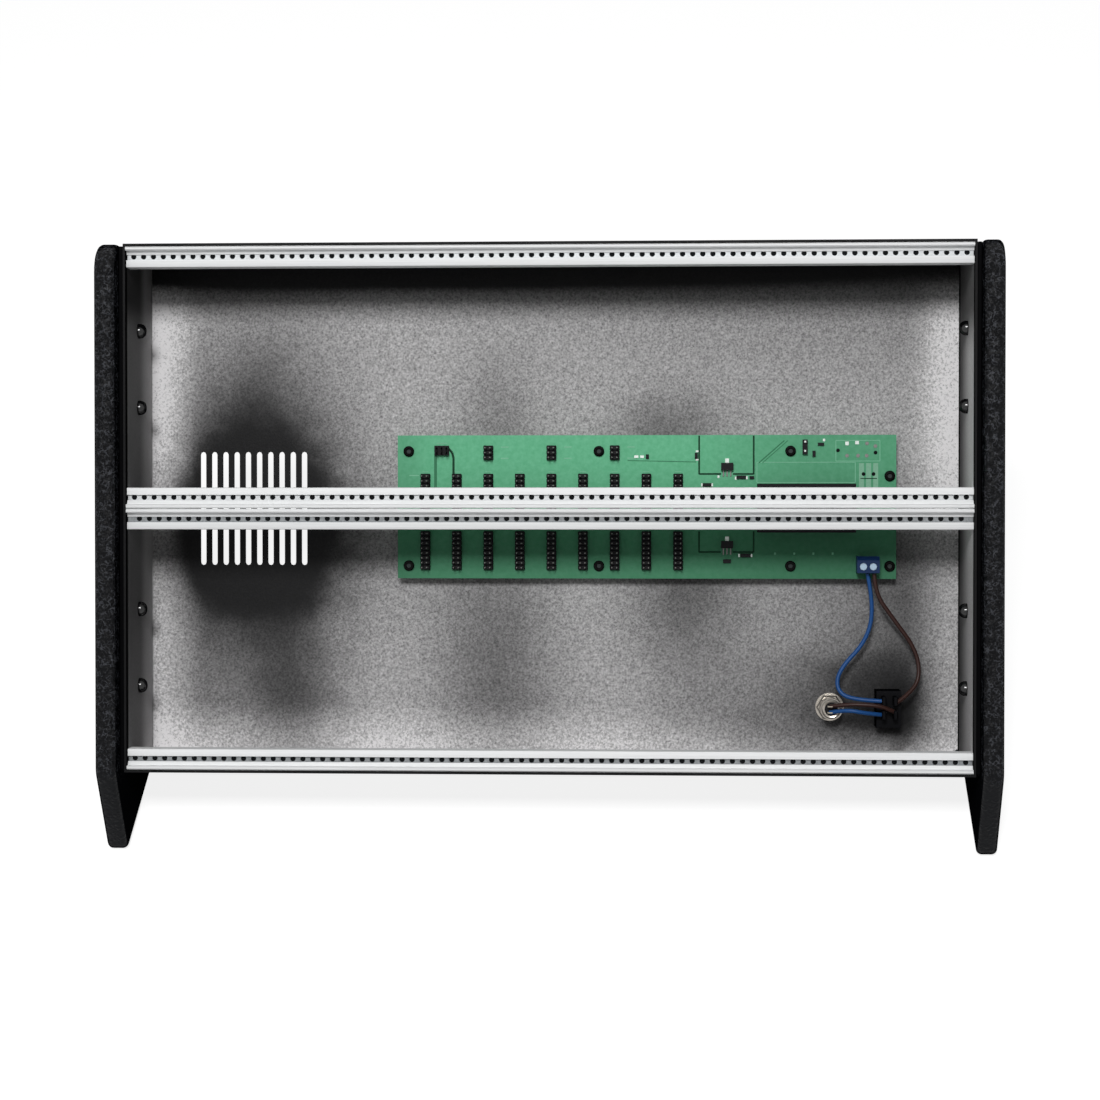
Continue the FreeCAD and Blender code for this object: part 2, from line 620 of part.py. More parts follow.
def make_cheeks():
    """Flat side cheeks whose lower corner is the foot, with a seat pad on the inside."""
    radii = ["toe_radius", "knee_radius", "top_radius", "top_radius", "heel_radius"]
    rail_rows = rail_port_rows()
    for name, way in side_names("cheek"):
        body = new_body(name)
        outside = "-(%s + cheek_thick)" % PAD_FACE if way < 0 else PAD_FACE
        pad(body, name + "_plate", "YZ", outside, "cheek_thick", [cheek_corners()])
        for place_name, (y, z), radius in zip(("toe", "knee", "front", "rear", "heel"),
                                              cheek_corners(), radii):
            corner = along_x_at(num(y), num(z))
            round_edges(body, "%s_%s" % (name, place_name), radius, corner)
        faces = [way * num(PAD_FACE), way * num("%s + cheek_thick" % PAD_FACE)]
        bevel_edges(body, name + "_rims", "edge_bevel", lambda edge: edge.BoundBox.XLength < CLOSE
                    and min(abs(edge.BoundBox.XMin - x) for x in faces) < CLOSE)
        ring = rectangle(("pad_inset - sheet_front", "%s - pad_inset" % BACK_FACE),
                         ("pad_inset - %s" % CASE_TOP, "%s - pad_inset" % CASE_TOP))
        pad_start = "-" + PAD_FACE if way < 0 else SIDE_FACE
        pad(body, name + "_pad", "YZ", pad_start, "pad_thick", [ring])
        rows = [s + r for s in ("", "-") for r in ("cheek_screw_near", "cheek_screw_far")]
        bores = [polygon("cheek_screw_depth", row, "cheek_shank + hole_play", ROUND)
                 for row in rows]
        bore = "cheek_shank_length - sheet"
        bore_start = "-(%s + %s)" % (SIDE_FACE, bore) if way < 0 else SIDE_FACE
        pocket(body, name + "_bores", "YZ", bore_start, bore, bores)
        heads = [polygon("port_depth", row, "end_head_radius + head_room", ROUND)
                 for row in rail_rows]
        recess = "(end_head_height + head_room)"
        recess_start = "-(%s + %s)" % (SIDE_FACE, recess) if way < 0 else SIDE_FACE
        pocket(body, name + "_head_recesses", "YZ", recess_start, recess, heads)


def make_wall_screws():
    """Dome-headed screws into the cheeks, and screws through the side plates into the rails."""
    for name, way in side_names("cheek_screws"):
        side, outwards, inwards = ("-", "-X", "X") if way < 0 else ("", "X", "-X")
        wall = "%s(%s)" % (side, INSIDE)
        screws = []
        rows = [s + r for s in ("", "-") for r in ("cheek_screw_near", "cheek_screw_far")]
        for number, row in enumerate(rows, 1):
            at = (wall, "cheek_screw_depth", row)
            brim = bar("%s_brim_%d" % (name, number), inwards, at, "dome_radius", "dome_brim",
                       ROUND)
            crown = bar("%s_crown_%d" % (name, number), inwards, at, "dome_crown_radius",
                        "dome_height", ROUND)
            shank = bar("%s_shank_%d" % (name, number), outwards, at, "cheek_shank",
                        "cheek_shank_length - hole_play")
            screws.append(fused("%s_%d" % (name, number), [brim, crown, shank]))
        keep(name, group(name, screws))
    for name, way in side_names("rail_screws"):
        side, outwards, inwards = ("-", "-X", "X") if way < 0 else ("", "X", "-X")
        face = "%s(%s)" % (side, SIDE_FACE)
        screws = []
        for number, row in enumerate(rail_port_rows(), 1):
            at = (face, "port_depth", row)
            head = bar("%s_head_%d" % (name, number), outwards, at, "end_head_radius",
                       "end_head_height", ROUND)
            shank = bar("%s_shank_%d" % (name, number), inwards, at, "end_shank",
                        "end_shank_length")
            screws.append(fused("%s_%d" % (name, number), [head, shank]))
        keep(name, group(name, screws))


# Bus board

def board_points():
    """Middles of the eight board screws."""
    columns = ["board_first_column + %d*board_column" % n for n in range(3)]
    last = columns[2] + " + board_last_column"
    lower = [(column, "-board_screw_row") for column in columns + [last]]
    return [(column, "board_screw_row") for column in columns] + [(last, "board_corner_row")] + lower


def make_board():
    """The board on its hexagonal stand-offs, with its screws."""
    body = new_body("bus_board")
    ring = rectangle(("board_left", "board_left + board_width"),
                     ("board_bottom", "board_bottom + board_height"))
    pad(body, "board_sheet", "XZ", BOARD_FACE, "board_thick", [ring])
    posts, screws = [], []
    for number, (x, z) in enumerate(board_points(), 1):
        posts.append(bar("standoff_%d" % number, "Y", (x, "bay_depth - standoff_height", z),
                         "standoff_radius", "standoff_height"))
        screws.append(bar("board_screw_%d" % number, "-Y", (x, BOARD_FACE, z),
                          "board_head_radius", "board_head_height", ROUND))
    keep("board_standoffs", group("board_standoffs", posts))
    keep("board_screws", group("board_screws", screws))


def on_board(name, x, z, width, height, depth):
    """A box that stands on the board, given by its middle."""
    return block(name, ("%s - %s/2" % (x, width), "%s + %s/2" % (x, width)),
                 ("%s - %s" % (BOARD_FACE, depth), BOARD_FACE),
                 ("%s - %s/2" % (z, height), "%s + %s/2" % (z, height)))


def make_headers():
    """Two rows of pin headers, the small headers above them and the jumper header."""
    length = "(header_pins*pin_pitch)"
    for name, top in (("headers_upper", "upper_header_top"), ("headers_lower", "lower_header_top")):
        bodies = [on_board("%s_%d" % (name, n + 1),
                           "(%d - (header_count - 1)/2)*header_pitch" % n,
                           "%s - %s/2" % (top, length), "(2*pin_pitch)", length, "header_base")
                  for n in range(int(num("header_count")))]
        keep(name, group(name, bodies))
    short = "(small_header_pins*pin_pitch)"
    small = [on_board("small_header_%d" % (n + 1), "%d*header_pitch" % column, "small_header_row",
                      "(2*pin_pitch)", short, "header_base")
             for n, column in enumerate((-2, 0, 2))]
    keep("small_headers", group("small_headers", small))
    jumper = on_board("jumper", "jumper_column", "jumper_row", short, "(2*pin_pitch)", "header_base")
    keep("jumper_header", group("jumper_header", [jumper]))


def make_board_parts():
    """Converter brick, regulators, indicator strip, screw terminal and chips."""
    brick = on_board("brick", "(brick_left + brick_width/2)", "(brick_top - brick_height/2)",
                     "brick_width", "brick_height", "brick_depth")
    keep("converter_brick", group("converter_brick", [brick]))
    rows = (("upper", "upper_regulator_row"), ("lower", "lower_regulator_row"))
    bodies = [block("regulator_%s" % name,
                    ("regulator_column - regulator_width/2", "regulator_column + regulator_width/2"),
                    ("%s - tab_thick - regulator_depth" % BOARD_FACE, "%s - tab_thick" % BOARD_FACE),
                    ("%s - regulator_height/2" % row, "%s + regulator_height/2" % row))
              for name, row in rows]
    keep("regulator_bodies", group("regulator_bodies", bodies))
    tabs = [block("regulator_tab_%s" % name,
                  ("regulator_column - tab_width/2", "regulator_column + tab_width/2"),
                  ("%s - tab_thick" % BOARD_FACE, BOARD_FACE),
                  ("%s - regulator_height/2" % row, "%s + regulator_height/2 + tab_reach" % row))
            for name, row in rows]
    keep("regulator_tabs", group("regulator_tabs", tabs))
    strip = on_board("indicators", "led_column", "led_row", "pin_pitch",
                     "(small_header_pins*pin_pitch)", "header_base")
    keep("indicator_strip", group("indicator_strip", [strip]))
    chips = [on_board("chip_%d" % n, x, z, width, height, depth)
             for n, (x, z, width, height, depth) in enumerate(CHIPS, 1)]
    keep("board_chips", group("board_chips", chips))

    body = new_body("terminal_block")
    front = "(%s - terminal_depth)" % BOARD_FACE
    top = "(terminal_bottom + terminal_height)"
    profile = [(BOARD_FACE, "terminal_bottom"), (BOARD_FACE, top),
               (front + " + terminal_chamfer", top), (front, top + " - terminal_chamfer"),
               (front, "terminal_bottom")]
    pad(body, "terminal_block_body", "YZ", "terminal_column - terminal_width/2",
        "terminal_width", [profile])
    ways = ["terminal_column %s terminal_pitch/2" % sign for sign in "-+"]
    middle = "terminal_bottom + (terminal_height - terminal_chamfer)/2"
    seats = [polygon(way, middle, "terminal_screw_radius + hole_play", ROUND) for way in ways]
    pocket(body, "terminal_seats", "XZ", front + " - 1", "terminal_seat + 1", seats)
    screws = [bar("terminal_screw_%d" % n, "Y", (way, front + " + terminal_screw_drop", middle),
                  "terminal_screw_radius", "terminal_seat - terminal_screw_drop", ROUND)
              for n, way in enumerate(ways, 1)]
    keep("terminal_screws", group("terminal_screws", screws))


# Inlet and switch

def make_inlet():
    """Barrel inlet through the back wall: shell, centre pin, nut and solder lugs."""
    at = ("jack_column", "jack_row")
    barrel = rod("inlet_barrel", "Y", (at[0], "bay_depth - jack_reach", at[1]), "jack_radius",
                 "jack_reach + sheet + jack_flange")
    flange = rod("inlet_flange", "Y", (at[0], BACK_FACE, at[1]), "jack_flange_radius",
                 "jack_flange")
    bore = rod("inlet_bore", "Y",
               (at[0], "%s + jack_flange - jack_bore_depth" % BACK_FACE, at[1]),
               "jack_bore_radius", "jack_bore_depth + 1")
    shell = cut("inlet_shell", fused("inlet_solid", [barrel, flange]), bore)
    keep("inlet_shell", shell)
    pin = rod("inlet_contact", "Y",
              (at[0], "%s + jack_flange - jack_bore_depth" % BACK_FACE, at[1]),
              "jack_pin_radius", "jack_bore_depth - 1")
    keep("inlet_pin", group("inlet_pin", [pin]))
    nut = bar("inlet_nut_bar", "Y", (at[0], "bay_depth - nut_thick", at[1]), "nut_radius",
              "nut_thick")
    thread = rod("inlet_nut_thread", "Y", (at[0], "bay_depth - nut_thick - 1", at[1]),
                 "jack_radius", "nut_thick + 2")
    keep("inlet_nut", cut("inlet_nut", nut, thread))
    end = "(bay_depth - jack_reach)"
    lugs = [block("inlet_lug_%s" % name,
                  ("jack_column - jack_lug_lead - lug_width/2",
                   "jack_column - jack_lug_lead + lug_width/2"),
                  (end + " - lug_reach", end),
                  ("jack_row %s lug_spread - lug_thick/2" % sign,
                   "jack_row %s lug_spread + lug_thick/2" % sign))
            for name, sign in (("upper", "+"), ("lower", "-"))]
    keep("inlet_lugs", group("inlet_lugs", lugs))


def make_switch():
    """Rocker switch: housing with its well, blade terminals, and the rocker on its axle."""
    body = new_body("switch_housing")

    def frame(half_width, half_height):
        """A rectangle around the middle of the switch."""
        return [rectangle(("switch_column - (%s)" % half_width, "switch_column + %s" % half_width),
                          ("switch_row - (%s)" % half_height, "switch_row + %s" % half_height))]

    pad(body, "switch_box", "XZ", "bay_depth - switch_reach", "switch_reach + sheet",
        frame("switch_width/2", "switch_height/2"))
    pad(body, "switch_bezel", "XZ", BACK_FACE, "bezel_thick",
        frame("switch_width/2 + bezel_rim", "switch_height/2 + bezel_rim"))
    pocket(body, "switch_well", "XZ", "%s + bezel_thick - well_depth" % BACK_FACE,
           "well_depth + 1",
           frame("rocker_width/2 + rocker_play", "rocker_half + rocker_end_room"))
    reach = "(rocker_width/2 + rocker_play + pivot_reach + pivot_play)"
    pocket(body, "switch_pivot_holes", "YZ", "switch_column - " + reach, "2*" + reach,
           circles=[(PIVOT, "switch_row", "pivot_radius + pivot_play")])

    body = new_body("switch_rocker")
    points = [("-rocker_heel", "-rocker_foot"), ("rocker_skirt", "-rocker_half"),
              ("rocker_crown", "-rocker_half"), ("rocker_valley", "0"),
              ("rocker_crown", "rocker_half"), ("rocker_skirt", "rocker_half"),
              ("-rocker_heel", "rocker_foot")]
    turn = "(-rocker_throw/2*1deg)"
    ring = [("%s + (%s)*cos%s - (%s)*sin%s" % (PIVOT, y, turn, z, turn),
             "switch_row + (%s)*sin%s + (%s)*cos%s" % (y, turn, z, turn)) for y, z in points]
    pad(body, "rocker_wedge", "YZ", "switch_column - rocker_width/2", "rocker_width", [ring])
    stub = "(rocker_width/2 + rocker_play + pivot_reach)"
    pad(body, "rocker_axle", "YZ", "switch_column - " + stub, "2*" + stub,
        circles=[(PIVOT, "switch_row", "pivot_radius")])

    end = "(bay_depth - switch_reach)"
    blades = [block("blade_%s_%s" % (height, side),
                    ("switch_column %s blade_spread - blade_thick/2" % sign,
                     "switch_column %s blade_spread + blade_thick/2" % sign),
                    (end + " - blade_reach", end),
                    ("%s - blade_width/2" % row, "%s + blade_width/2" % row))
              for height, row in (("upper", "upper_blade_row"), ("lower", "lower_blade_row"))
              for side, sign in (("left", "-"), ("right", "+"))]
    keep("switch_blades", group("switch_blades", blades))


# Wires

def make_wire(name, points):
    """A tube of straight runs joined by tangent arcs, as wide as the runs allow.

    Its section is a hexagon with the area of the round wire."""
    route = [FreeCAD.Vector(*point) for point in points]
    edges, here, length, radii = [], route[0], 0.0, []
    for before, corner, after in zip(route, route[1:], route[2:]):
        back, ahead = (before - corner), (after - corner)
        short = min(back.Length, ahead.Length)
        half_turn = (FreeCAD.Vector(-back).getAngle(ahead)) / 2
        setback = 0.45 * short
        radii.append(setback / tan(half_turn))
        start = corner + back.normalize() * setback
        end = corner + ahead.normalize() * setback
        inwards = (back + ahead).normalize()
        middle = corner + inwards * (radii[-1] / cos(half_turn) - radii[-1])
        edges.append(Part.LineSegment(here, start).toShape())
        edges.append(Part.Arc(start, middle, end).toShape())
        here = end
    edges.append(Part.LineSegment(here, route[-1]).toShape())
    path = Part.Wire(edges)
    corner_radius = num("wire_diameter") / 2 * sqrt(2 * pi / (SOME * sin(2 * pi / SOME)))
    circle = Part.Circle(route[0], route[1] - route[0], corner_radius)
    ring = Part.makePolygon([circle.value(2 * pi * side / SOME) for side in range(SOME + 1)])
    solid = path.makePipeShell([ring], True, False)
    share = solid.Volume / (Part.Face(ring).Area * path.Length)
    print("%s: length %.1f, volume over section times length %.4f, radii %s"
          % (name, path.Length, share, " ".join("%.1f" % r for r in radii)))
    wire = doc.addObject("Part::Feature", name)
    wire.Shape = solid
    keep(name, wire)


def stand_placement():
    """Lean the cage back, set it on its base edges and centre it over the origin."""
    lean = FreeCAD.Placement(FreeCAD.Vector(), FreeCAD.Rotation(FreeCAD.Vector(1, 0, 0),
                                                                -num("recline")))
    cheek = parts["cheek_left"].Shape.copy()
    cheek.Placement = lean
    box = cheek.optimalBoundingBox(False)
    return FreeCAD.Placement(FreeCAD.Vector(0, -(box.YMin + box.YMax) / 2, -box.ZMin),
                             lean.Rotation)


def check_parts():
    """Stop if an object failed or a sub-part is null or not valid."""
    failed = [o.Name for o in doc.Objects if {"Invalid", "Error"} & set(o.State)]
    failed += [name for name, part in parts.items() if part.Shape.isNull()
               or not part.Shape.isValid()]
    if failed:
        raise RuntimeError("failed: " + ", ".join(failed))


make_case_wrap()
make_side_plates()
make_rails()
make_strips()
make_cheeks()
make_wall_screws()
make_board()
make_headers()
make_board_parts()
make_inlet()
make_switch()
for wire_name, wire_points in WIRES.items():
    make_wire(wire_name, wire_points)
doc.recompute()

stand = stand_placement()
for part in parts.values():
    part.Placement = stand
doc.recompute()
check_parts()
print("stand", stand)

os.makedirs("parts", exist_ok=True)
for name, part in parts.items():
    part.Shape.exportStep("parts/%s.step" % name)
print(len(parts), "sub-parts written")
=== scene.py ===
import logging
from dataclasses import dataclass, field
from enum import Enum
from itertools import product
from math import cos, pi, radians, sin
from typing import Optional, Sequence, Union

import bpy
import numpy as np
from mathutils import Matrix, Vector


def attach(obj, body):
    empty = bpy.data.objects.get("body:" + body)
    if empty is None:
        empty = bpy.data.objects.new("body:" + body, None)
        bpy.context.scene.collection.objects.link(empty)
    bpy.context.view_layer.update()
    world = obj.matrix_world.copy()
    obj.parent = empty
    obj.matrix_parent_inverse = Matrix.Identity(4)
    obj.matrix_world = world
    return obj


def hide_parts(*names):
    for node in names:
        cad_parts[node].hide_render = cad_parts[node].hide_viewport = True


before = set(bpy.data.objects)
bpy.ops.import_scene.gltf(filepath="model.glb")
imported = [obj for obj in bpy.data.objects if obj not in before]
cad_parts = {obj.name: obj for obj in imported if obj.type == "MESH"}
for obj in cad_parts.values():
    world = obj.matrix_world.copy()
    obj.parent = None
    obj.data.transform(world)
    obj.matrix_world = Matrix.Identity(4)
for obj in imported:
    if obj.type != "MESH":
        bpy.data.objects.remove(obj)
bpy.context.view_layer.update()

log = logging.getLogger("card_cage")

Socket = Union[bpy.types.NodeSocket, float, Sequence[float]]
Colour = tuple[float, float, float]
Place = tuple[float, float]
Profile = tuple[Place, ...]
Box = tuple[float, float, float, float]
Stroke = tuple[float, float, float, float, float]
Size = tuple[float, float, float]


# Place of the cage on the table

LEAN = radians(33)
SEAT = np.array([0.0, -21.8855, 158.107])
MILLIMETRE = 0.001


def stand(points: np.ndarray) -> np.ndarray:
    """Cage millimetres to the row frame in metres.

    The points turn by the lean about X, shift onto the feet and shrink to metres:
    y' = y cos a + z sin a, z' = z cos a - y sin a.

    Args:
        points: Array of shape (..., 3), X right, Y into the case, Z up its front.

    Returns:
        Array of the same shape.
    """
    x, y, z = np.moveaxis(np.asarray(points, dtype=float), -1, 0)
    turned = np.stack([x, y * cos(LEAN) + z * sin(LEAN), z * cos(LEAN) - y * sin(LEAN)], axis=-1)
    return (turned + SEAT) * MILLIMETRE


def stand_direction(vector: Sequence[float]) -> Vector:
    """A cage direction turned into the row frame."""
    return Vector(stand(np.asarray(vector)) - stand(np.zeros(3)))


# Sizes that several pieces share, in millimetres

UNIT = 5.08
UNITS = 84
INSIDE = 214.31
SCREW_ROW = 127.925
NEAR_ROW = 5.425
HALF_HEIGHT = 133.35
BACK_WALL = 58.7
HALF_SHEET = 0.6
BOARD_FACE = 49.1


# Meshes: the radius that closes a turned piece's flat ends, and the least angle of a sharp edge

CORE = 0.01
SHARP = radians(35)


@dataclass
class Shape:
    """Vertices in cage millimetres with faces that index them."""

    points: np.ndarray
    faces: list[tuple[int, ...]]

    def __add__(self, other: "Shape") -> "Shape":
        """Both shapes in one mesh.

        Args:
            other: The shape to join.

        Returns:
            One shape.
        """
        shift = len(self.points)
        moved = [tuple(corner + shift for corner in face) for face in other.faces]
        return Shape(np.vstack([self.points, other.points]), self.faces + moved)


def copies(shape: Shape, offsets: np.ndarray) -> Shape:
    """The same shape at every offset.

    Args:
        shape: One piece.
        offsets: Array (n, 3) of shifts in millimetres.

    Returns:
        One shape with n copies.
    """
    offsets = np.atleast_2d(np.asarray(offsets, dtype=float))
    points = (offsets[:, None, :] + shape.points[None, :, :]).reshape(-1, 3)
    size = len(shape.points)
    faces = [tuple(corner + n * size for corner in face)
             for n in range(len(offsets)) for face in shape.faces]
    return Shape(points, faces)


def grid_faces(rows: int, columns: int, closed: bool) -> list[tuple[int, ...]]:
    """Quads of a grid of points, row after row.

    Args:
        rows: Number of rows.
        columns: Points in each row.
        closed: Join the last column to the first.

    Returns:
        Four indices for each quad.
    """
    row, column = np.meshgrid(np.arange(rows - 1), np.arange(columns if closed else columns - 1),
                              indexing="ij")
    after = (column + 1) % columns
    quads = np.stack([row * columns + column, row * columns + after,
                      (row + 1) * columns + after, (row + 1) * columns + column], axis=-1)
    return [tuple(quad) for quad in quads.reshape(-1, 4).tolist()]


def turned(profile: Sequence[Place], sides: int) -> Shape:
    """A turned piece whose axis is Y.

    Point (i, j) is (r_i cos t_j, h_i, r_i sin t_j): the profile's radius and height carried
    round the axis. Each end closes on its own flat.

    Args:
        profile: Radius and height along Y, from the front to the back.
        sides: Points round the axis.

    Returns:
        The closed shape about the origin.
    """
    radius, height = np.array(profile, dtype=float).T
    turn = np.linspace(0, 2 * pi, sides, endpoint=False)
    points = np.stack([np.outer(radius, np.cos(turn)),
                       np.repeat(height[:, None], sides, axis=1),
                       np.outer(radius, np.sin(turn))], axis=-1).reshape(-1, 3)
    faces = grid_faces(len(profile), sides, True)
    last = (len(profile) - 1) * sides
    ends = [tuple(reversed(range(sides))), tuple(range(last, last + sides))]
    return Shape(points, faces + ends)


def block(size: Sequence[float], bevel: float) -> Shape:
    """A box about the origin with bevelled edges.

    Each corner is three points: the corner drawn in by the bevel along two axes at a time.

    Args:
        size: Lengths along X, Y and Z.
        bevel: Width of the bevels.

    Returns:
        The closed shape.
    """
    half = np.array(size, dtype=float) / 2
    signs = np.array(list(product((-1.0, 1.0), repeat=3)))
    points = np.stack([signs * (half - bevel * (1 - np.eye(3)[axis])) for axis in range(3)],
                      axis=1).reshape(-1, 3)

    def at(x: int, y: int, z: int, axis: int) -> int:
        """Index of one corner's point that lies on the face across an axis."""
        return ((x * 2 + y) * 2 + z) * 3 + axis

    faces: list[tuple[int, ...]] = []
    ring = [(0, 0), (1, 0), (1, 1), (0, 1)]
    for axis in range(3):
        one, two = (axis + 1) % 3, (axis + 2) % 3
        for side in (0, 1):
            corners = []
            for a, b in ring:
                place = [0, 0, 0]
                place[axis], place[one], place[two] = side, a, b
                corners.append(at(*place, axis))
            faces.append(tuple(corners if side else reversed(corners)))
        for a, b in product((0, 1), repeat=2):
            low, high = [0, 0, 0], [0, 0, 0]
            low[one], low[two] = high[one], high[two] = a, b
            high[axis] = 1
            edge = [at(*low, one), at(*high, one), at(*high, two), at(*low, two)]
            faces.append(tuple(edge if a != b else reversed(edge)))
    for x, y, z in product((0, 1), repeat=3):
        corner = [at(x, y, z, axis) for axis in range(3)]
        faces.append(tuple(corner if (x + y + z) % 2 else reversed(corner)))
    return Shape(points, faces)


def mirrored(shape: Shape) -> Shape:
    """The shape seen in a mirror across X, with its faces turned outwards again."""
    return Shape(shape.points * (-1, 1, 1), [tuple(reversed(face)) for face in shape.faces])


def drawn(outline: np.ndarray, start: float, end: float) -> Shape:
    """A bar along X: a closed outline carried from start to end, with flat ends.

    Args:
        outline: Points (y, z) against the clock as seen from +X.
        start: X of the first end.
        end: X of the second end.

    Returns:
        The closed shape.
    """
    outline = np.asarray(outline, dtype=float)
    count = len(outline)
    rows = [np.column_stack([np.full(count, x), outline]) for x in (start, end)]
    faces = grid_faces(2, count, True)
    ends = [tuple(reversed(range(count))), tuple(range(count, 2 * count))]
    return Shape(np.vstack(rows), faces + ends)


def softened(corners: Sequence[Sequence[float]], radii: Sequence[float], steps: int,
             inset: float) -> np.ndarray:
    """A convex polygon with round corners, drawn in by an inset.

    At each corner an arc touches both sides. Its centre lies on the bisector, at the radius
    over the sine of half the angle; its points lie at the radius less the inset from there.

    Args:
        corners: Points (u, v) in order.
        radii: One radius for each corner.
        steps: Points on each arc.
        inset: Distance to draw in.

    Returns:
        Array (corners times steps, 2).
    """
    corner = np.array(corners, dtype=float)
    radius = np.array(radii, dtype=float)
    back = np.roll(corner, 1, axis=0) - corner
    ahead = np.roll(corner, -1, axis=0) - corner
    back /= np.linalg.norm(back, axis=1, keepdims=True)
    ahead /= np.linalg.norm(ahead, axis=1, keepdims=True)
    bisector = back + ahead
    bisector /= np.linalg.norm(bisector, axis=1, keepdims=True)
    half = np.arccos((back * ahead).sum(axis=1)) / 2
    centre = corner + bisector * (radius / np.sin(half))[:, None]
    side = np.sign(back[:, 0] * ahead[:, 1] - back[:, 1] * ahead[:, 0])
    sweep = np.outer(side * (half - pi / 2), np.linspace(-1, 1, steps))
    u, v = -bisector[:, :1], -bisector[:, 1:]
    away = np.stack([u * np.cos(sweep) - v * np.sin(sweep),
                     u * np.sin(sweep) + v * np.cos(sweep)], axis=-1)
    points = centre[:, None, :] + away * (radius - inset)[:, None, None]
    return points.reshape(-1, 2)


def slab(corners: Sequence[Sequence[float]], radii: Sequence[float], start: float, end: float,
         rim: float, steps: int) -> Shape:
    """A plate across X with round corners and rounded rims.

    Each rim is a quarter circle: with a from 0 to 90 degrees, a ring lies rim (1 - cos a)
    behind its face and is drawn in by rim (1 - sin a).

    Args:
        corners: Corners (y, z) against the clock as seen from +X.
        radii: One radius for each corner.
        start: X of the first face.
        end: X of the second face.
        rim: Radius of the rims.
        steps: Points on each corner's arc.

    Returns:
        The closed shape.
    """
    turn = np.linspace(0, pi / 2, 6)
    behind, drawn_in = rim * (1 - np.cos(turn)), rim * (1 - np.sin(turn))
    places = np.concatenate([start + behind, end - behind[::-1]])
    insets = np.concatenate([drawn_in, drawn_in[::-1]])
    rings = [np.column_stack([np.full(len(corners) * steps, x),
                              softened(corners, radii, steps, inset)])
             for x, inset in zip(places, insets)]
    count = len(rings[0])
    last = (len(rings) - 1) * count
    ends = [tuple(reversed(range(count))), tuple(range(last, last + count))]
    return Shape(np.vstack(rings), grid_faces(len(rings), count, True) + ends)


def make(name: str, shape: Shape, finish: bpy.types.Material,
         nodes: Sequence[str] = (), smooth: bool = True) -> None:
    """Put a shape into the scene as one dressed piece.

    Args:
        name: Name of the piece.
        shape: Its form in cage millimetres.
        finish: Its material.
        nodes: CAD nodes that it stands for.
        smooth: Shade curved faces smoothly, up to the sharp angle.
    """
    mesh = bpy.data.meshes.new(name)
    mesh.from_pydata(stand(shape.points).tolist(), [], shape.faces)
    mesh.validate()
    piece = bpy.data.objects.new(name, mesh)
    bpy.context.collection.objects.link(piece)
    mesh.materials.append(finish)
    if smooth:
        mesh.polygons.foreach_set("use_smooth", np.ones(len(mesh.polygons), dtype=bool))
        mesh.set_sharp_from_angle(angle=SHARP)
    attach(piece, "cage")
    if nodes:
        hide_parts(*nodes)
    log.info("%s: %d faces", name, len(mesh.polygons))


# Shader networks

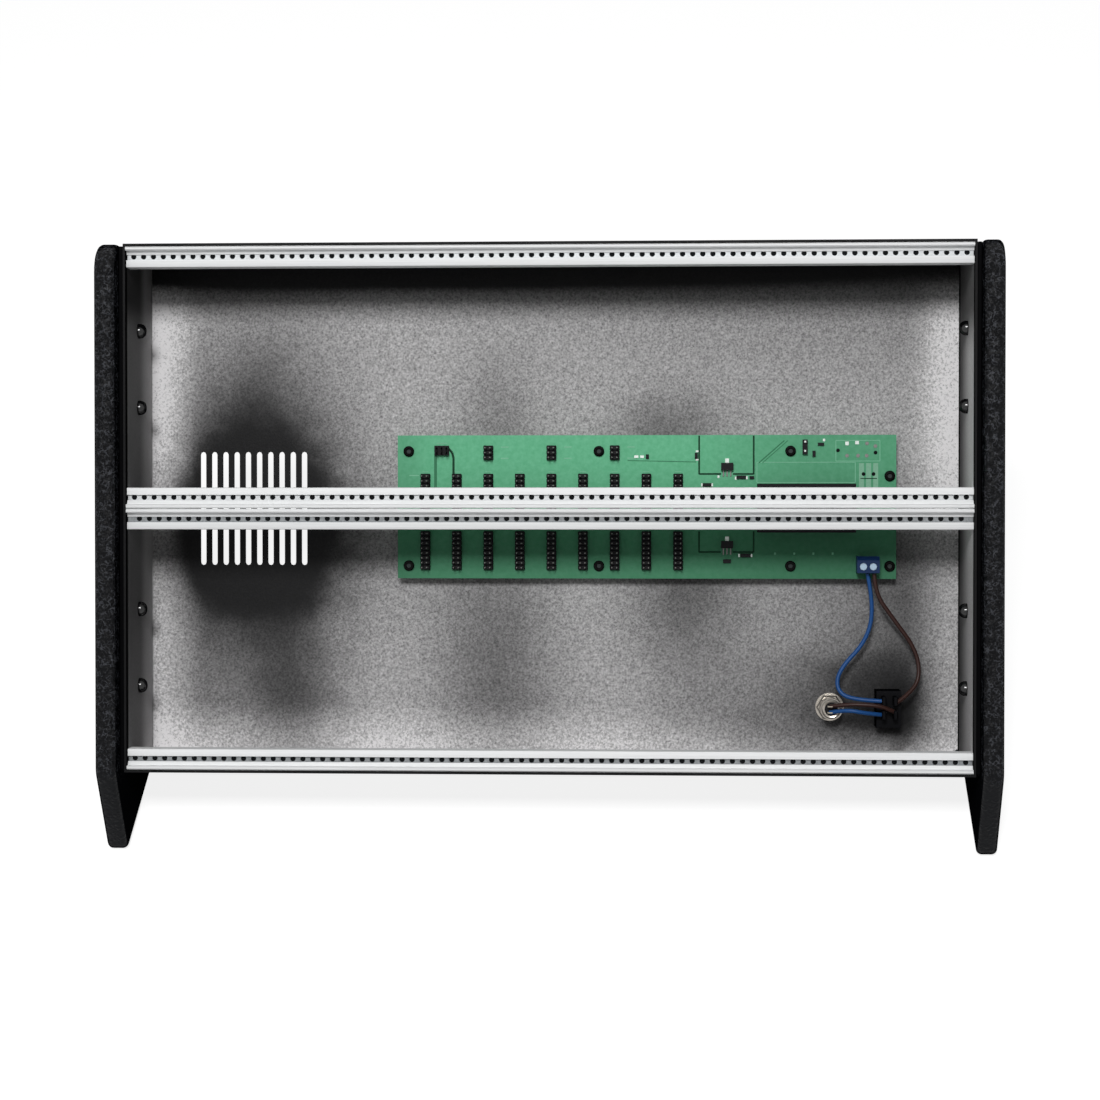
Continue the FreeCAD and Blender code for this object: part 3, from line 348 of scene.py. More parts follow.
class Net:
    """A node tree with short calls to add and join nodes."""

    def __init__(self, tree: bpy.types.NodeTree) -> None:
        """Keep the tree to add to."""
        self.tree = tree

    def put(self, socket: bpy.types.NodeSocket, value: Socket) -> None:
        """Join a socket to another, or set its value.

        Args:
            socket: The input.
            value: What feeds it: an output, a number or several numbers.
        """
        if isinstance(value, bpy.types.NodeSocket):
            self.tree.links.new(value, socket)
        else:
            socket.default_value = value

    def add(self, kind: str, inputs: Optional[dict[Union[int, str], Socket]] = None,
            **settings: object) -> bpy.types.Node:
        """Add a node.

        Args:
            kind: Node type.
            inputs: Values or sockets for its inputs, by name or number.
            settings: Attributes of the node.

        Returns:
            The node.
        """
        node = self.tree.nodes.new(kind)
        for key, value in settings.items():
            setattr(node, key, value)
        for key, value in (inputs or {}).items():
            self.put(node.inputs[key], value)
        return node

    def math(self, operation: str, one: Socket, two: Socket = 0.0,
             clamp: bool = False) -> bpy.types.NodeSocket:
        """One arithmetic step."""
        return self.add("ShaderNodeMath", {0: one, 1: two}, operation=operation,
                        use_clamp=clamp).outputs[0]

    def plus(self, one: Socket, two: Socket) -> bpy.types.NodeSocket:
        """One number plus another."""
        return self.math("ADD", one, two)

    def minus(self, one: Socket, two: Socket) -> bpy.types.NodeSocket:
        """One number less another."""
        return self.math("SUBTRACT", one, two)

    def times(self, one: Socket, two: Socket) -> bpy.types.NodeSocket:
        """One number times another."""
        return self.math("MULTIPLY", one, two)

    def blend(self, factor: Socket, one: Socket, two: Socket) -> bpy.types.NodeSocket:
        """A number that runs from one to two as the factor runs from 0 to 1."""
        return self.plus(one, self.times(factor, self.minus(two, one)))

    def vector(self, operation: str, one: Socket, two: Socket) -> bpy.types.NodeSocket:
        """One vector step; a dot product gives a number."""
        node = self.add("ShaderNodeVectorMath", {0: one, 1: two}, operation=operation)
        return node.outputs["Value" if operation == "DOT_PRODUCT" else "Vector"]

    def noise(self, where: Socket, size: float, detail: float,
              roughness: float) -> bpy.types.NodeSocket:
        """Noise whose blobs are about size across in the units of the coordinates."""
        inputs = {"Vector": where, "Scale": 1.0 / size, "Detail": detail, "Roughness": roughness}
        return self.add("ShaderNodeTexNoise", inputs).outputs[0]

    def step(self, value: Socket, low: float, high: float, to_low: float = 0.0,
             to_high: float = 1.0) -> bpy.types.NodeSocket:
        """A smooth step of a value.

        Args:
            value: The value.
            low: Where the step starts.
            high: Where it ends.
            to_low: Result at its start.
            to_high: Result at its end.

        Returns:
            The result.
        """
        return self.add("ShaderNodeMapRange",
                        {"Value": value, "From Min": low, "From Max": high, "To Min": to_low,
                         "To Max": to_high}, interpolation_type="SMOOTHSTEP").outputs[0]

    def mix(self, factor: Socket, one: Socket, two: Socket) -> bpy.types.NodeSocket:
        """Mix two colours."""
        node = self.add("ShaderNodeMix", {0: factor, 6: one, 7: two}, data_type="RGBA")
        return node.outputs[2]

    def triple(self, value: Socket) -> bpy.types.NodeSocket:
        """A vector with the value in all three places."""
        return self.add("ShaderNodeCombineXYZ", {0: value, 1: value, 2: value}).outputs[0]

    def split(self, vector: Socket) -> bpy.types.Node:
        """X, Y and Z of a vector."""
        return self.add("ShaderNodeSeparateXYZ", {0: vector})


def rgba(colour: Sequence[float]) -> tuple[float, float, float, float]:
    """A linear colour with full opacity."""
    return (colour[0], colour[1], colour[2], 1.0)


def new_group(name: str, inputs: dict[str, Union[float, Sequence[float]]],
              outputs: Sequence[str]) -> tuple[Net, bpy.types.Node, bpy.types.Node]:
    """An empty node group.

    Args:
        name: Name of the group.
        inputs: Default of each input; three numbers make a vector.
        outputs: Names of the outputs, which are all numbers.

    Returns:
        The group's net, its input node and its output node.
    """
    tree = bpy.data.node_groups.new(name, "ShaderNodeTree")
    for label, default in inputs.items():
        kind = "NodeSocketFloat" if isinstance(default, float) else "NodeSocketVector"
        socket = tree.interface.new_socket(label, in_out="INPUT", socket_type=kind)
        socket.default_value = default
    for label in outputs:
        tree.interface.new_socket(label, in_out="OUTPUT", socket_type="NodeSocketFloat")
    net = Net(tree)
    return net, net.add("NodeGroupInput"), net.add("NodeGroupOutput")


@dataclass(frozen=True)
class Ramp:
    """A smooth step from a first value to a last, as a number runs from start to end."""

    start: float
    end: float
    first: float = 0.0
    last: float = 1.0

    def at(self, net: Net, number: Socket) -> bpy.types.NodeSocket:
        """The step's value at a number."""
        return net.step(number, self.start, self.end, self.first, self.last)


@dataclass(frozen=True)
class Cloud:
    """A patch of thick spray paint on the inside of the back wall, in millimetres."""

    x: float
    z: float
    half_width: float
    half_height: float
    strength: float

    def cover(self, net: Net, place: Socket) -> bpy.types.NodeSocket:
        """The cloud's bell curve exp(-q), with q the squared distance over its half sizes.

        Args:
            net: The network to add to.
            place: Cage position in millimetres.

        Returns:
            The share of paint that the cloud adds.
        """
        local = net.vector("SUBTRACT", place, (self.x, 0.0, self.z))
        scaled = net.vector("MULTIPLY", local, (1 / self.half_width, 0.0, 1 / self.half_height))
        squared = net.vector("DOT_PRODUCT", scaled, scaled)
        bell = net.math("EXPONENT", net.times(squared, -1.0))
        return net.times(bell, self.strength)


@dataclass(frozen=True)
class BackWallSprayAndShade:
    """Paint on the inside of the back wall, with painted shade under the top rail, in millimetres
    and shares of full paint.
    """

    ground: float = 0.258
    drift: float = 16.0
    drift_size: float = 14.0
    drift_below_top: Ramp = Ramp(104.0, 80.0, 0.06, 1.0)
    cleaner_edge: Ramp = Ramp(183.8, 212.0, 0.0, 0.529)
    edge_below_top: Ramp = Ramp(122.0, 108.0)
    cleaner_foot: Ramp = Ramp(-100.0, -128.0, 0.0, 0.4)
    clouds: tuple[Cloud, ...] = (
        Cloud(-175.0, -18.0, 80.0, 45.0, 0.83),
        Cloud(-158.0, 24.0, 46.0, 72.0, 0.75),
        Cloud(-137.0, -130.0, 28.0, 84.0, 0.43),
        Cloud(-29.0, -85.0, 38.0, 95.0, 0.48),
        Cloud(-29.0, 48.0, 20.0, 31.0, 0.23),
        Cloud(60.0, 44.0, 29.0, 17.0, 0.32),
        Cloud(69.0, -41.0, 36.0, 59.0, 0.49),
        Cloud(166.0, -121.0, 105.0, 17.0, 0.76),
        Cloud(163.0, -92.0, 62.0, 18.0, 0.42),
        Cloud(184.0, -108.0, 12.0, 14.0, 0.22),
        Cloud(215.0, -48.0, 90.0, 58.0, 0.66),
        Cloud(202.0, 135.0, 260.0, 80.0, 0.39),
        # Band along the top: spray and painted shade under the top rail.
        Cloud(-89.0, 128.0, 260.0, 11.0, 1.60),
        Cloud(-215.0, -99.0, 93.0, 41.0, 0.39))

    def cover(self, net: Net, place: Socket) -> bpy.types.NodeSocket:
        """How far paint covers the wall, before its grain.

        The cover is the sum of soft clouds over an even ground. The side edges and the foot of
        the wall stay cleaner. Coarse noise makes the clouds' edges drift, but for the even band
        at the top, which is spray and painted shade under the top rail.

        Args:
            net: The network to add to.
            place: Cage position in millimetres.

        Returns:
            A value near 0 where the metal is bare and near 1 under full paint.
        """
        wobble = net.add("ShaderNodeTexNoise", {"Vector": place, "Scale": 1 / self.drift_size,
                                                "Detail": 3.0}).outputs["Color"]
        drift = net.vector("MULTIPLY", net.vector("SUBTRACT", wobble, (0.5, 0.5, 0.5)),
                           (self.drift, 0.0, self.drift))
        x, _, z = net.split(place).outputs
        share = net.triple(self.drift_below_top.at(net, z))
        moved = net.vector("ADD", place, net.vector("MULTIPLY", drift, share))
        total: Socket = self.ground
        for cloud in self.clouds:
            total = net.plus(total, cloud.cover(net, moved))
        edge = net.times(self.cleaner_edge.at(net, net.math("ABSOLUTE", x)),
                         self.edge_below_top.at(net, z))
        return net.minus(total, net.plus(edge, self.cleaner_foot.at(net, z)))


@dataclass(frozen=True)
class SideWallSprayAndShade:
    """Paint on the side walls, with painted shade at the right wall's back corner, in millimetres
    and shares of full paint.
    """

    left: Ramp = Ramp(60.0, -30.0, 0.71, 0.83)
    left_back: Ramp = Ramp(28.0, 46.0, 0.0, 0.2)
    left_top: Ramp = Ramp(88.0, 108.0, 0.0, 0.25)
    left_foot: Ramp = Ramp(-40.0, -115.0, 0.0, 0.1)
    right_low: Ramp = Ramp(20.0, -35.0, 0.0, 0.24)
    right_top: Ramp = Ramp(78.0, 104.0, 0.0, 0.76)
    right_corner_shade: Ramp = Ramp(12.0, 58.0)
    corner_shade_cover: float = 0.88

    def cover(self, net: Net, place: Socket) -> bpy.types.NodeSocket:
        """How far paint covers the side walls.

        The left wall is dark and clears a little towards the back. The right wall is bare at
        its front above the middle, part covered below it, and darkens towards the back with
        painted shade.

        Args:
            net: The network to add to.
            place: Cage position in millimetres.

        Returns:
            A value near 0 where the metal is bare and near 1 under full paint.
        """
        x, y, z = net.split(place).outputs
        left = net.minus(self.left.at(net, z), self.left_back.at(net, y))
        left = net.plus(left, self.left_top.at(net, z))
        left = net.minus(left, self.left_foot.at(net, z))
        front = net.plus(self.right_low.at(net, z), self.right_top.at(net, z))
        # Towards the back corner the right wall darkens with painted shade.
        right = net.blend(self.right_corner_shade.at(net, y), front, self.corner_shade_cover)
        return net.blend(net.math("GREATER_THAN", x, 0.0), left, right)


@dataclass(frozen=True)
class SprayAndShade:
    """Where black spray and painted shade cover the bare metal inside the case, as a node group.

    Away from the side walls even the barest metal keeps a thin even veil of spray.
    """

    back_wall: BackWallSprayAndShade = BackWallSprayAndShade()
    side_walls: SideWallSprayAndShade = SideWallSprayAndShade()
    on_side: Ramp = Ramp(213.6, 214.2)
    by_side: Ramp = Ramp(188.0, 212.0)
    upper: Ramp = Ramp(-20.0, 40.0)
    grain_size: float = 1.1
    grain_depth: float = 2.8
    grain_lost_on_side: float = 2.2
    least_bare: float = 0.006
    least_softness: float = 0.2
    veiled: float = 0.817

    def build(self) -> bpy.types.NodeTree:
        """Make the group.

        Returns:
            A group from a cage position in millimetres to the masks Paint, which holds spray and
            painted shade, and Grain.
        """
        net, start, end = new_group("SprayAndShade", {"Position": (0.0, 0.0, 0.0)},
                                    ("Paint", "Grain"))
        place = start.outputs["Position"]
        back, side = self.back_wall.cover(net, place), self.side_walls.cover(net, place)
        x, _, z = net.split(place).outputs
        across = net.math("ABSOLUTE", x)
        on_side = self.on_side.at(net, across)
        grain = net.noise(place, self.grain_size, detail=3.0, roughness=0.7)
        depth = net.minus(self.grain_depth, net.times(on_side, self.grain_lost_on_side))
        speck = net.times(net.minus(grain, 0.5), depth)
        clear = net.minus(1.0, net.blend(on_side, back, side))
        bare = net.add("ShaderNodeMath", {0: clear, 1: self.least_bare, 2: self.least_softness},
                       operation="SMOOTH_MAX").outputs[0]
        near_side = net.times(self.by_side.at(net, across),
                              net.math("MAXIMUM", on_side, self.upper.at(net, z)))
        polish = net.plus(self.veiled, net.times(near_side, 1 - self.veiled))
        seen = net.math("MULTIPLY", net.times(bare, polish), net.minus(1.0, speck), clamp=True)
        net.put(end.inputs["Paint"], net.minus(1.0, seen))
        net.put(end.inputs["Grain"], grain)
        return net.tree


@dataclass(frozen=True)
class Leather:
    """Hammered paint: raised pebbles, with pale winding crests of painted sheen where a noise
    nears its middle.
    """

    bend: float = 3.0
    bend_scale: float = 0.3
    cell_scale: float = 0.42
    pebble: Ramp = Ramp(0.65, 0.1)
    pebble_share: float = 0.7
    fine_size: float = 1.5
    fine_share: float = 0.5
    crest_size: float = 2.1
    crest: Ramp = Ramp(0.075, 0.005)
    blotch_size: float = 4.0
    blotch: Ramp = Ramp(0.38, 0.6)

    def build(self) -> bpy.types.NodeTree:
        """Make the group.

        Returns:
            A group from a position and a strength of painted sheen to Height and a mask of the
            crests' painted sheen.
        """
        net, start, end = new_group("Leather", {"Position": (0.0, 0.0, 0.0), "Sheen strength": 0.5},
                                    ("Height", "Sheen"))
        place = start.outputs["Position"]
        bend = net.add("ShaderNodeTexNoise", {"Vector": place, "Scale": self.bend_scale,
                                              "Detail": 2.0}).outputs["Color"]
        bent = net.vector("ADD", place, net.vector("MULTIPLY", bend, (self.bend,) * 3))
        cells = net.add("ShaderNodeTexVoronoi", {"Vector": bent, "Scale": self.cell_scale},
                        feature="F1")
        pebble = self.pebble.at(net, cells.outputs["Distance"])
        fine = net.noise(place, self.fine_size, detail=2.0, roughness=0.5)
        height = net.plus(net.times(pebble, self.pebble_share), net.times(fine, self.fine_share))
        # The pale winding crests are painted sheen.
        winding = net.noise(place, self.crest_size, detail=1.5, roughness=0.5)
        crest = self.crest.at(net, net.math("ABSOLUTE", net.minus(winding, 0.5)))
        blotch = self.blotch.at(net, net.noise(place, self.blotch_size, detail=2.0,
                                               roughness=0.6))
        sheen_mask = net.times(net.times(crest, blotch), start.outputs["Sheen strength"])
        net.put(end.inputs["Height"], height)
        net.put(end.inputs["Sheen"], sheen_mask)
        return net.tree


@dataclass(frozen=True)
class FineGrain:
    """Fine uneven tone, optionally drawn out along X as on an extrusion."""

    size: float = 1.0
    gain: float = 2.0

    def build(self) -> bpy.types.NodeTree:
        """Make the group.

        Returns:
            A group from a position, stretch and depth to a Tone about 1 and a Height.
        """
        net, start, end = new_group(
            "Fine grain", {"Position": (0.0, 0.0, 0.0), "Stretch": (1.0, 1.0, 1.0),
                           "Depth": 0.1}, ("Tone", "Height"))
        place = net.vector("MULTIPLY", start.outputs["Position"], start.outputs["Stretch"])
        noise = net.noise(place, self.size, detail=4.0, roughness=0.6)
        offset = net.times(net.minus(noise, 0.5), net.times(start.outputs["Depth"], self.gain))
        net.put(end.inputs["Tone"], net.plus(offset, 1.0))
        net.put(end.inputs["Height"], noise)
        return net.tree


class Groups:
    """The node groups, each built once."""

    def __init__(self) -> None:
        """Build all groups."""
        self.spray_and_shade = SprayAndShade().build()
        self.leather = Leather().build()
        self.grain = FineGrain().build()


class Canvas(Net):
    """A material under construction: a Principled shader and cage coordinates."""

    def __init__(self, name: str) -> None:
        """Start a material with a bare Principled shader.

        Args:
            name: Name of the material.
        """
        self.material = bpy.data.materials.new(name)
        self.material.use_nodes = True
        super().__init__(self.material.node_tree)
        self.shader = self.tree.nodes["Principled BSDF"]

    def position(self) -> bpy.types.NodeSocket:
        """Place on the piece: q = R(a) (1000 p - s), with a the lean, s the seat and p in metres.

        Returns:
            The place in cage millimetres.
        """
        inverse_y = -(SEAT[1] * cos(LEAN) - SEAT[2] * sin(LEAN))
        inverse_z = -(SEAT[1] * sin(LEAN) + SEAT[2] * cos(LEAN))
        where = self.add("ShaderNodeTexCoord").outputs["Object"]
        return self.add("ShaderNodeMapping",
                        {"Vector": where, "Location": (0.0, inverse_y, inverse_z),
                         "Rotation": (LEAN, 0.0, 0.0),
                         "Scale": (1 / MILLIMETRE,) * 3}).outputs[0]

    def group(self, tree: bpy.types.NodeTree,
              inputs: dict[Union[int, str], Socket]) -> bpy.types.Node:
        """Place a node group."""
        return self.add("ShaderNodeGroup", inputs, node_tree=tree)

    def set(self, **sockets: Socket) -> None:
        """Set or join sockets of the shader; underscores stand for spaces."""
        for label, value in sockets.items():
            self.put(self.shader.inputs[label.replace("_", " ")], value)

    def frontal(self, level: float) -> bpy.types.NodeSocket:
        """A specular level that fades away where the surface is seen edge-on.

        Args:
            level: The level where the surface faces the viewer.

        Returns:
            The level at the shaded point.
        """
        facing = self.add("ShaderNodeLayerWeight", {"Blend": 0.5}).outputs["Facing"]
        return self.step(facing, 0.6, 0.3, 0.0, level)

    def bump(self, height: Socket, distance: float) -> None:
        """Feed the shader's normal from a height.

        Args:
            height: The height, in shares of the distance.
            distance: How far a height of 1 stands out, in millimetres.
        """
        node = self.add("ShaderNodeBump", {"Height": height, "Strength": 1.0,
                                           "Distance": distance * MILLIMETRE})
        self.put(self.shader.inputs["Normal"], node.outputs[0])


@dataclass(frozen=True)
class PlainFinish:
    """A moulded or plated finish with a little uneven tone."""

    name: str
    colour: Colour
    roughness: float
    metallic: float = 0.0
    depth: float = 0.06
    stretch: Colour = (1.0, 1.0, 1.0)
    relief: float = 0.0
    specular: float = 0.5
    matt: bool = False

    def build(self, groups: Groups) -> bpy.types.Material:
        """Make the material.

        Args:
            groups: The shared node groups.

        Returns:
            The material.
        """
        canvas = Canvas(self.name)
        grain = canvas.group(groups.grain, {"Position": canvas.position(),
                                            "Stretch": self.stretch, "Depth": self.depth})
        dark = [c * (1 - self.depth * 2) for c in self.colour]
        light = [min(c * (1 + self.depth * 2), 1.0) for c in self.colour]
        tone = canvas.step(grain.outputs["Tone"], 1 - self.depth, 1 + self.depth)
        canvas.set(Base_Color=canvas.mix(tone, rgba(dark), rgba(light)),
                   Roughness=self.roughness, Metallic=self.metallic,
                   Specular_IOR_Level=canvas.frontal(self.specular) if self.matt
                   else self.specular)
        if self.relief:
            canvas.bump(grain.outputs["Height"], self.relief)
        return canvas.material


@dataclass(frozen=True)
class HammeredPaint:
    """Black hammered paint on the cheeks with painted sheen on pale crests, smoother towards the
    foot.
    """

    name: str = "Hammered paint"
    valley: Colour = (0.0025, 0.0027, 0.0035)
    # Colour of the painted sheen on the pale crests.
    high: Colour = (0.058, 0.061, 0.07)
    foot: Colour = (0.005, 0.0055, 0.0068)
    roughness: float = 0.4
    specular: float = 0.1
    low: Ramp = Ramp(-128.0, -142.0)
    pebble_height: Ramp = Ramp(-142.0, -128.0, 0.25, 1.0)
    grain_height: float = 0.2
    relief: float = 0.9

    def build(self, groups: Groups) -> bpy.types.Material:
        """Make the material; below the case the pebbles fade into a smooth satin coat.

        Args:
            groups: The shared node groups.

        Returns:
            The material.
        """
        canvas = Canvas(self.name)
        place = canvas.position()
        pebbles = canvas.group(groups.leather, {"Position": place, "Sheen strength": 1.0})
        grain = canvas.group(groups.grain, {"Position": place, "Depth": 0.3})
        z = canvas.split(place).outputs[2]
        # The pale crests mixed into the colour are painted sheen; below the case the satin coat
        # has none.
        pebbled_sheen = canvas.mix(pebbles.outputs["Sheen"], rgba(self.valley), rgba(self.high))
        canvas.set(Base_Color=canvas.mix(self.low.at(canvas, z), pebbled_sheen, rgba(self.foot)),
                   Roughness=self.roughness,
                   Specular_IOR_Level=canvas.frontal(self.specular))
        faded = canvas.times(pebbles.outputs["Height"], self.pebble_height.at(canvas, z))
        fine = canvas.times(grain.outputs["Height"], self.grain_height)
        canvas.bump(canvas.plus(faded, fine), self.relief)
        return canvas.material


@dataclass(frozen=True)
class CasePaint:
    """Folded sheet: black outside, thinly and unevenly sprayed bare metal inside, with painted
    shade.
    """

    name: str = "Sprayed sheet with painted shade"
    metal: Colour = (0.914, 0.90, 0.908)
    black: Colour = (0.004, 0.004, 0.0045)
    from_rim: Ramp = Ramp(0.5, 3.0)
    roughness: float = 0.5
    specular: float = 0.1
    relief: float = 0.12

    def build(self, groups: Groups) -> bpy.types.Material:
        """Make the material.

        The inside is where the position lies within the middle of every wall's thickness.

        Args:
            groups: The shared node groups.

        Returns:
            The material.
        """
        canvas = Canvas(self.name)
        place = canvas.position()
        spray = canvas.group(groups.spray_and_shade, {"Position": place})
        x, y, z = canvas.split(place).outputs
        inside = self.from_rim.at(canvas, y)
        for distance, wall in ((y, BACK_WALL), (canvas.math("ABSOLUTE", x), INSIDE),
                               (canvas.math("ABSOLUTE", z), HALF_HEIGHT)):
            within = canvas.math("LESS_THAN", distance, wall + HALF_SHEET)
            inside = canvas.times(inside, within)
        # The spray mask also holds painted shade under the top rail and in the right wall's back
        # corner.
        lining = canvas.mix(spray.outputs["Paint"], rgba(self.metal), rgba(self.black))
        canvas.set(Base_Color=canvas.mix(inside, rgba(self.black), lining),
                   Roughness=self.roughness, Specular_IOR_Level=canvas.frontal(self.specular))
        canvas.bump(spray.outputs["Grain"], self.relief)
        return canvas.material


@dataclass(frozen=True)
class SolderMask:
    """Green lacquer over copper, with painted shade that darkens it towards its foot and ends."""

    name: str = "Solder mask"
    green: Colour = (0.125, 0.50, 0.265)
    pale: Colour = (0.185, 0.60, 0.35)
    # Colour of the lacquer in full painted shade.
    shade_tone: Colour = (0.002, 0.032, 0.010)
    stretch: Colour = (0.35, 1.0, 0.35)
    unevenness: float = 0.3
    tone: Ramp = Ramp(0.8, 1.2)
    # Painted shade: share of the lacquer's colour kept towards the foot below the rails and
    # towards both ends.
    foot: Ramp = Ramp(34.0, -36.0, 1.0, 0.4)
    right: Ramp = Ramp(60.0, 150.0, 1.0, 0.7)
    left: Ramp = Ramp(-60.0, -80.0, 1.0, 0.8)
    roughness: float = 0.45
    specular: float = 0.12

    def build(self, groups: Groups) -> bpy.types.Material:
        """Make the material.

        Args:
            groups: The shared node groups.

        Returns:
            The material.
        """
        canvas = Canvas(self.name)
        place = canvas.position()
        grain = canvas.group(groups.grain, {"Position": place, "Stretch": self.stretch,
                                            "Depth": self.unevenness})
        tone = self.tone.at(canvas, grain.outputs["Tone"])
        clean = canvas.mix(tone, rgba(self.green), rgba(self.pale))
        x, _, z = canvas.split(place).outputs
        # Painted shade darkens the lacquer towards the foot and the ends.
        clear = canvas.times(self.foot.at(canvas, z), self.right.at(canvas, x))
        clear = canvas.times(clear, self.left.at(canvas, x))
        canvas.set(Base_Color=canvas.mix(clear, rgba(self.shade_tone), clean),
                   Roughness=self.roughness, Specular_IOR_Level=canvas.frontal(self.specular))
        return canvas.material


class Finish(Enum):
    """The finishes of the cage's pieces."""

    HAMMERED = HammeredPaint()
    CASE = CasePaint()
    BOARD = SolderMask()
    PAD_BLACK = PlainFinish("Smooth black", (0.0015, 0.0015, 0.002), 0.5, specular=0.02, matt=True)
    RAIL = PlainFinish("Bare aluminium", (0.87, 0.88, 0.885), 0.6, 0.12, 0.05,
                       (0.03, 1.5, 1.5), 0.01)
    STRIP = PlainFinish("Zinc strip", (0.60, 0.62, 0.63), 0.5, 0.2, 0.08)
    # The lower strips' darker copy of the zinc is painted shade under the rails' lips.
    SHADED_STRIP = PlainFinish("Zinc strip in painted shade", (0.27, 0.285, 0.295), 0.6, 0.1, 0.2)
    # Near-black colour of painted shade in holes.
    HOLE_SHADE = PlainFinish("Hole shade", (0.012, 0.013, 0.014), 0.8, specular=0.0)
    BLACK_SCREW = PlainFinish("Black screw", (0.003, 0.003, 0.0035), 0.17, specular=0.5, matt=True)
    BOARD_SCREW = PlainFinish("Blackened screw", (0.003, 0.003, 0.003), 0.4, specular=0.08,
                              matt=True)
    STEEL = PlainFinish("Plain steel", (0.55, 0.55, 0.55), 0.3, 0.9)
    PLUG = PlainFinish("Plug moulding", (0.004, 0.004, 0.005), 0.5, specular=0.12, matt=True)
    PIN = PlainFinish("Pin tin", (0.16, 0.16, 0.15), 0.4, 0.3)
    CHIP = PlainFinish("Chip moulding", (0.006, 0.006, 0.007), 0.5, specular=0.12, matt=True)
    PAD = PlainFinish("Tinned pad", (0.62, 0.68, 0.64), 0.35, 0.3)
    MARK = PlainFinish("Pale print", (0.24, 0.50, 0.34), 0.6, specular=0.2)
    FAINT = PlainFinish("Faint print", (0.24, 0.58, 0.38), 0.6, specular=0.2)
    COVERED = PlainFinish("Covered run", (0.035, 0.20, 0.095), 0.5, specular=0.2)
    SOCKET = PlainFinish("Worn socket", (0.045, 0.055, 0.055), 0.5, specular=0.1)
    TRACE = PlainFinish("Dark run", (0.006, 0.045, 0.02), 0.5, specular=0.1)
    BLUE = PlainFinish("Blue moulding", (0.004, 0.022, 0.085), 0.4, specular=0.15)
    PALE_BLUE = PlainFinish("Pale clamp", (0.46, 0.62, 0.78), 0.4)
    NICKEL = PlainFinish("Nickel", (0.40, 0.37, 0.33), 0.28, 0.85)
    SWITCH = PlainFinish("Switch moulding", (0.003, 0.003, 0.004), 0.4, specular=0.05, matt=True)
    BLADE = PlainFinish("Tinned brass", (0.35, 0.32, 0.26), 0.35, 0.7)
    BLUE_WIRE = PlainFinish("Blue sheath", (0.012, 0.075, 0.25), 0.4, specular=0.25)
    BROWN_WIRE = PlainFinish("Brown sheath", (0.036, 0.015, 0.012), 0.4, specular=0.2)


class Paintbox:
    """Materials by finish, built once."""

    def __init__(self) -> None:
        """Build the node groups and every material."""
        groups = Groups()
        self.materials = {finish: finish.value.build(groups) for finish in Finish}

    def __getitem__(self, finish: Finish) -> bpy.types.Material:
        """The material of a finish."""
        return self.materials[finish]

    def dress(self, finish: Finish, *nodes: str) -> None:
        """Put a finish on CAD nodes.

        Args:
            finish: The finish.
            nodes: Names of the nodes.
        """
        for node in nodes:
            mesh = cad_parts[node].data
            mesh.materials.clear()
            mesh.materials.append(self[finish])
            log.info("%s: %s", node, finish.name.lower())


# Sub-assemblies

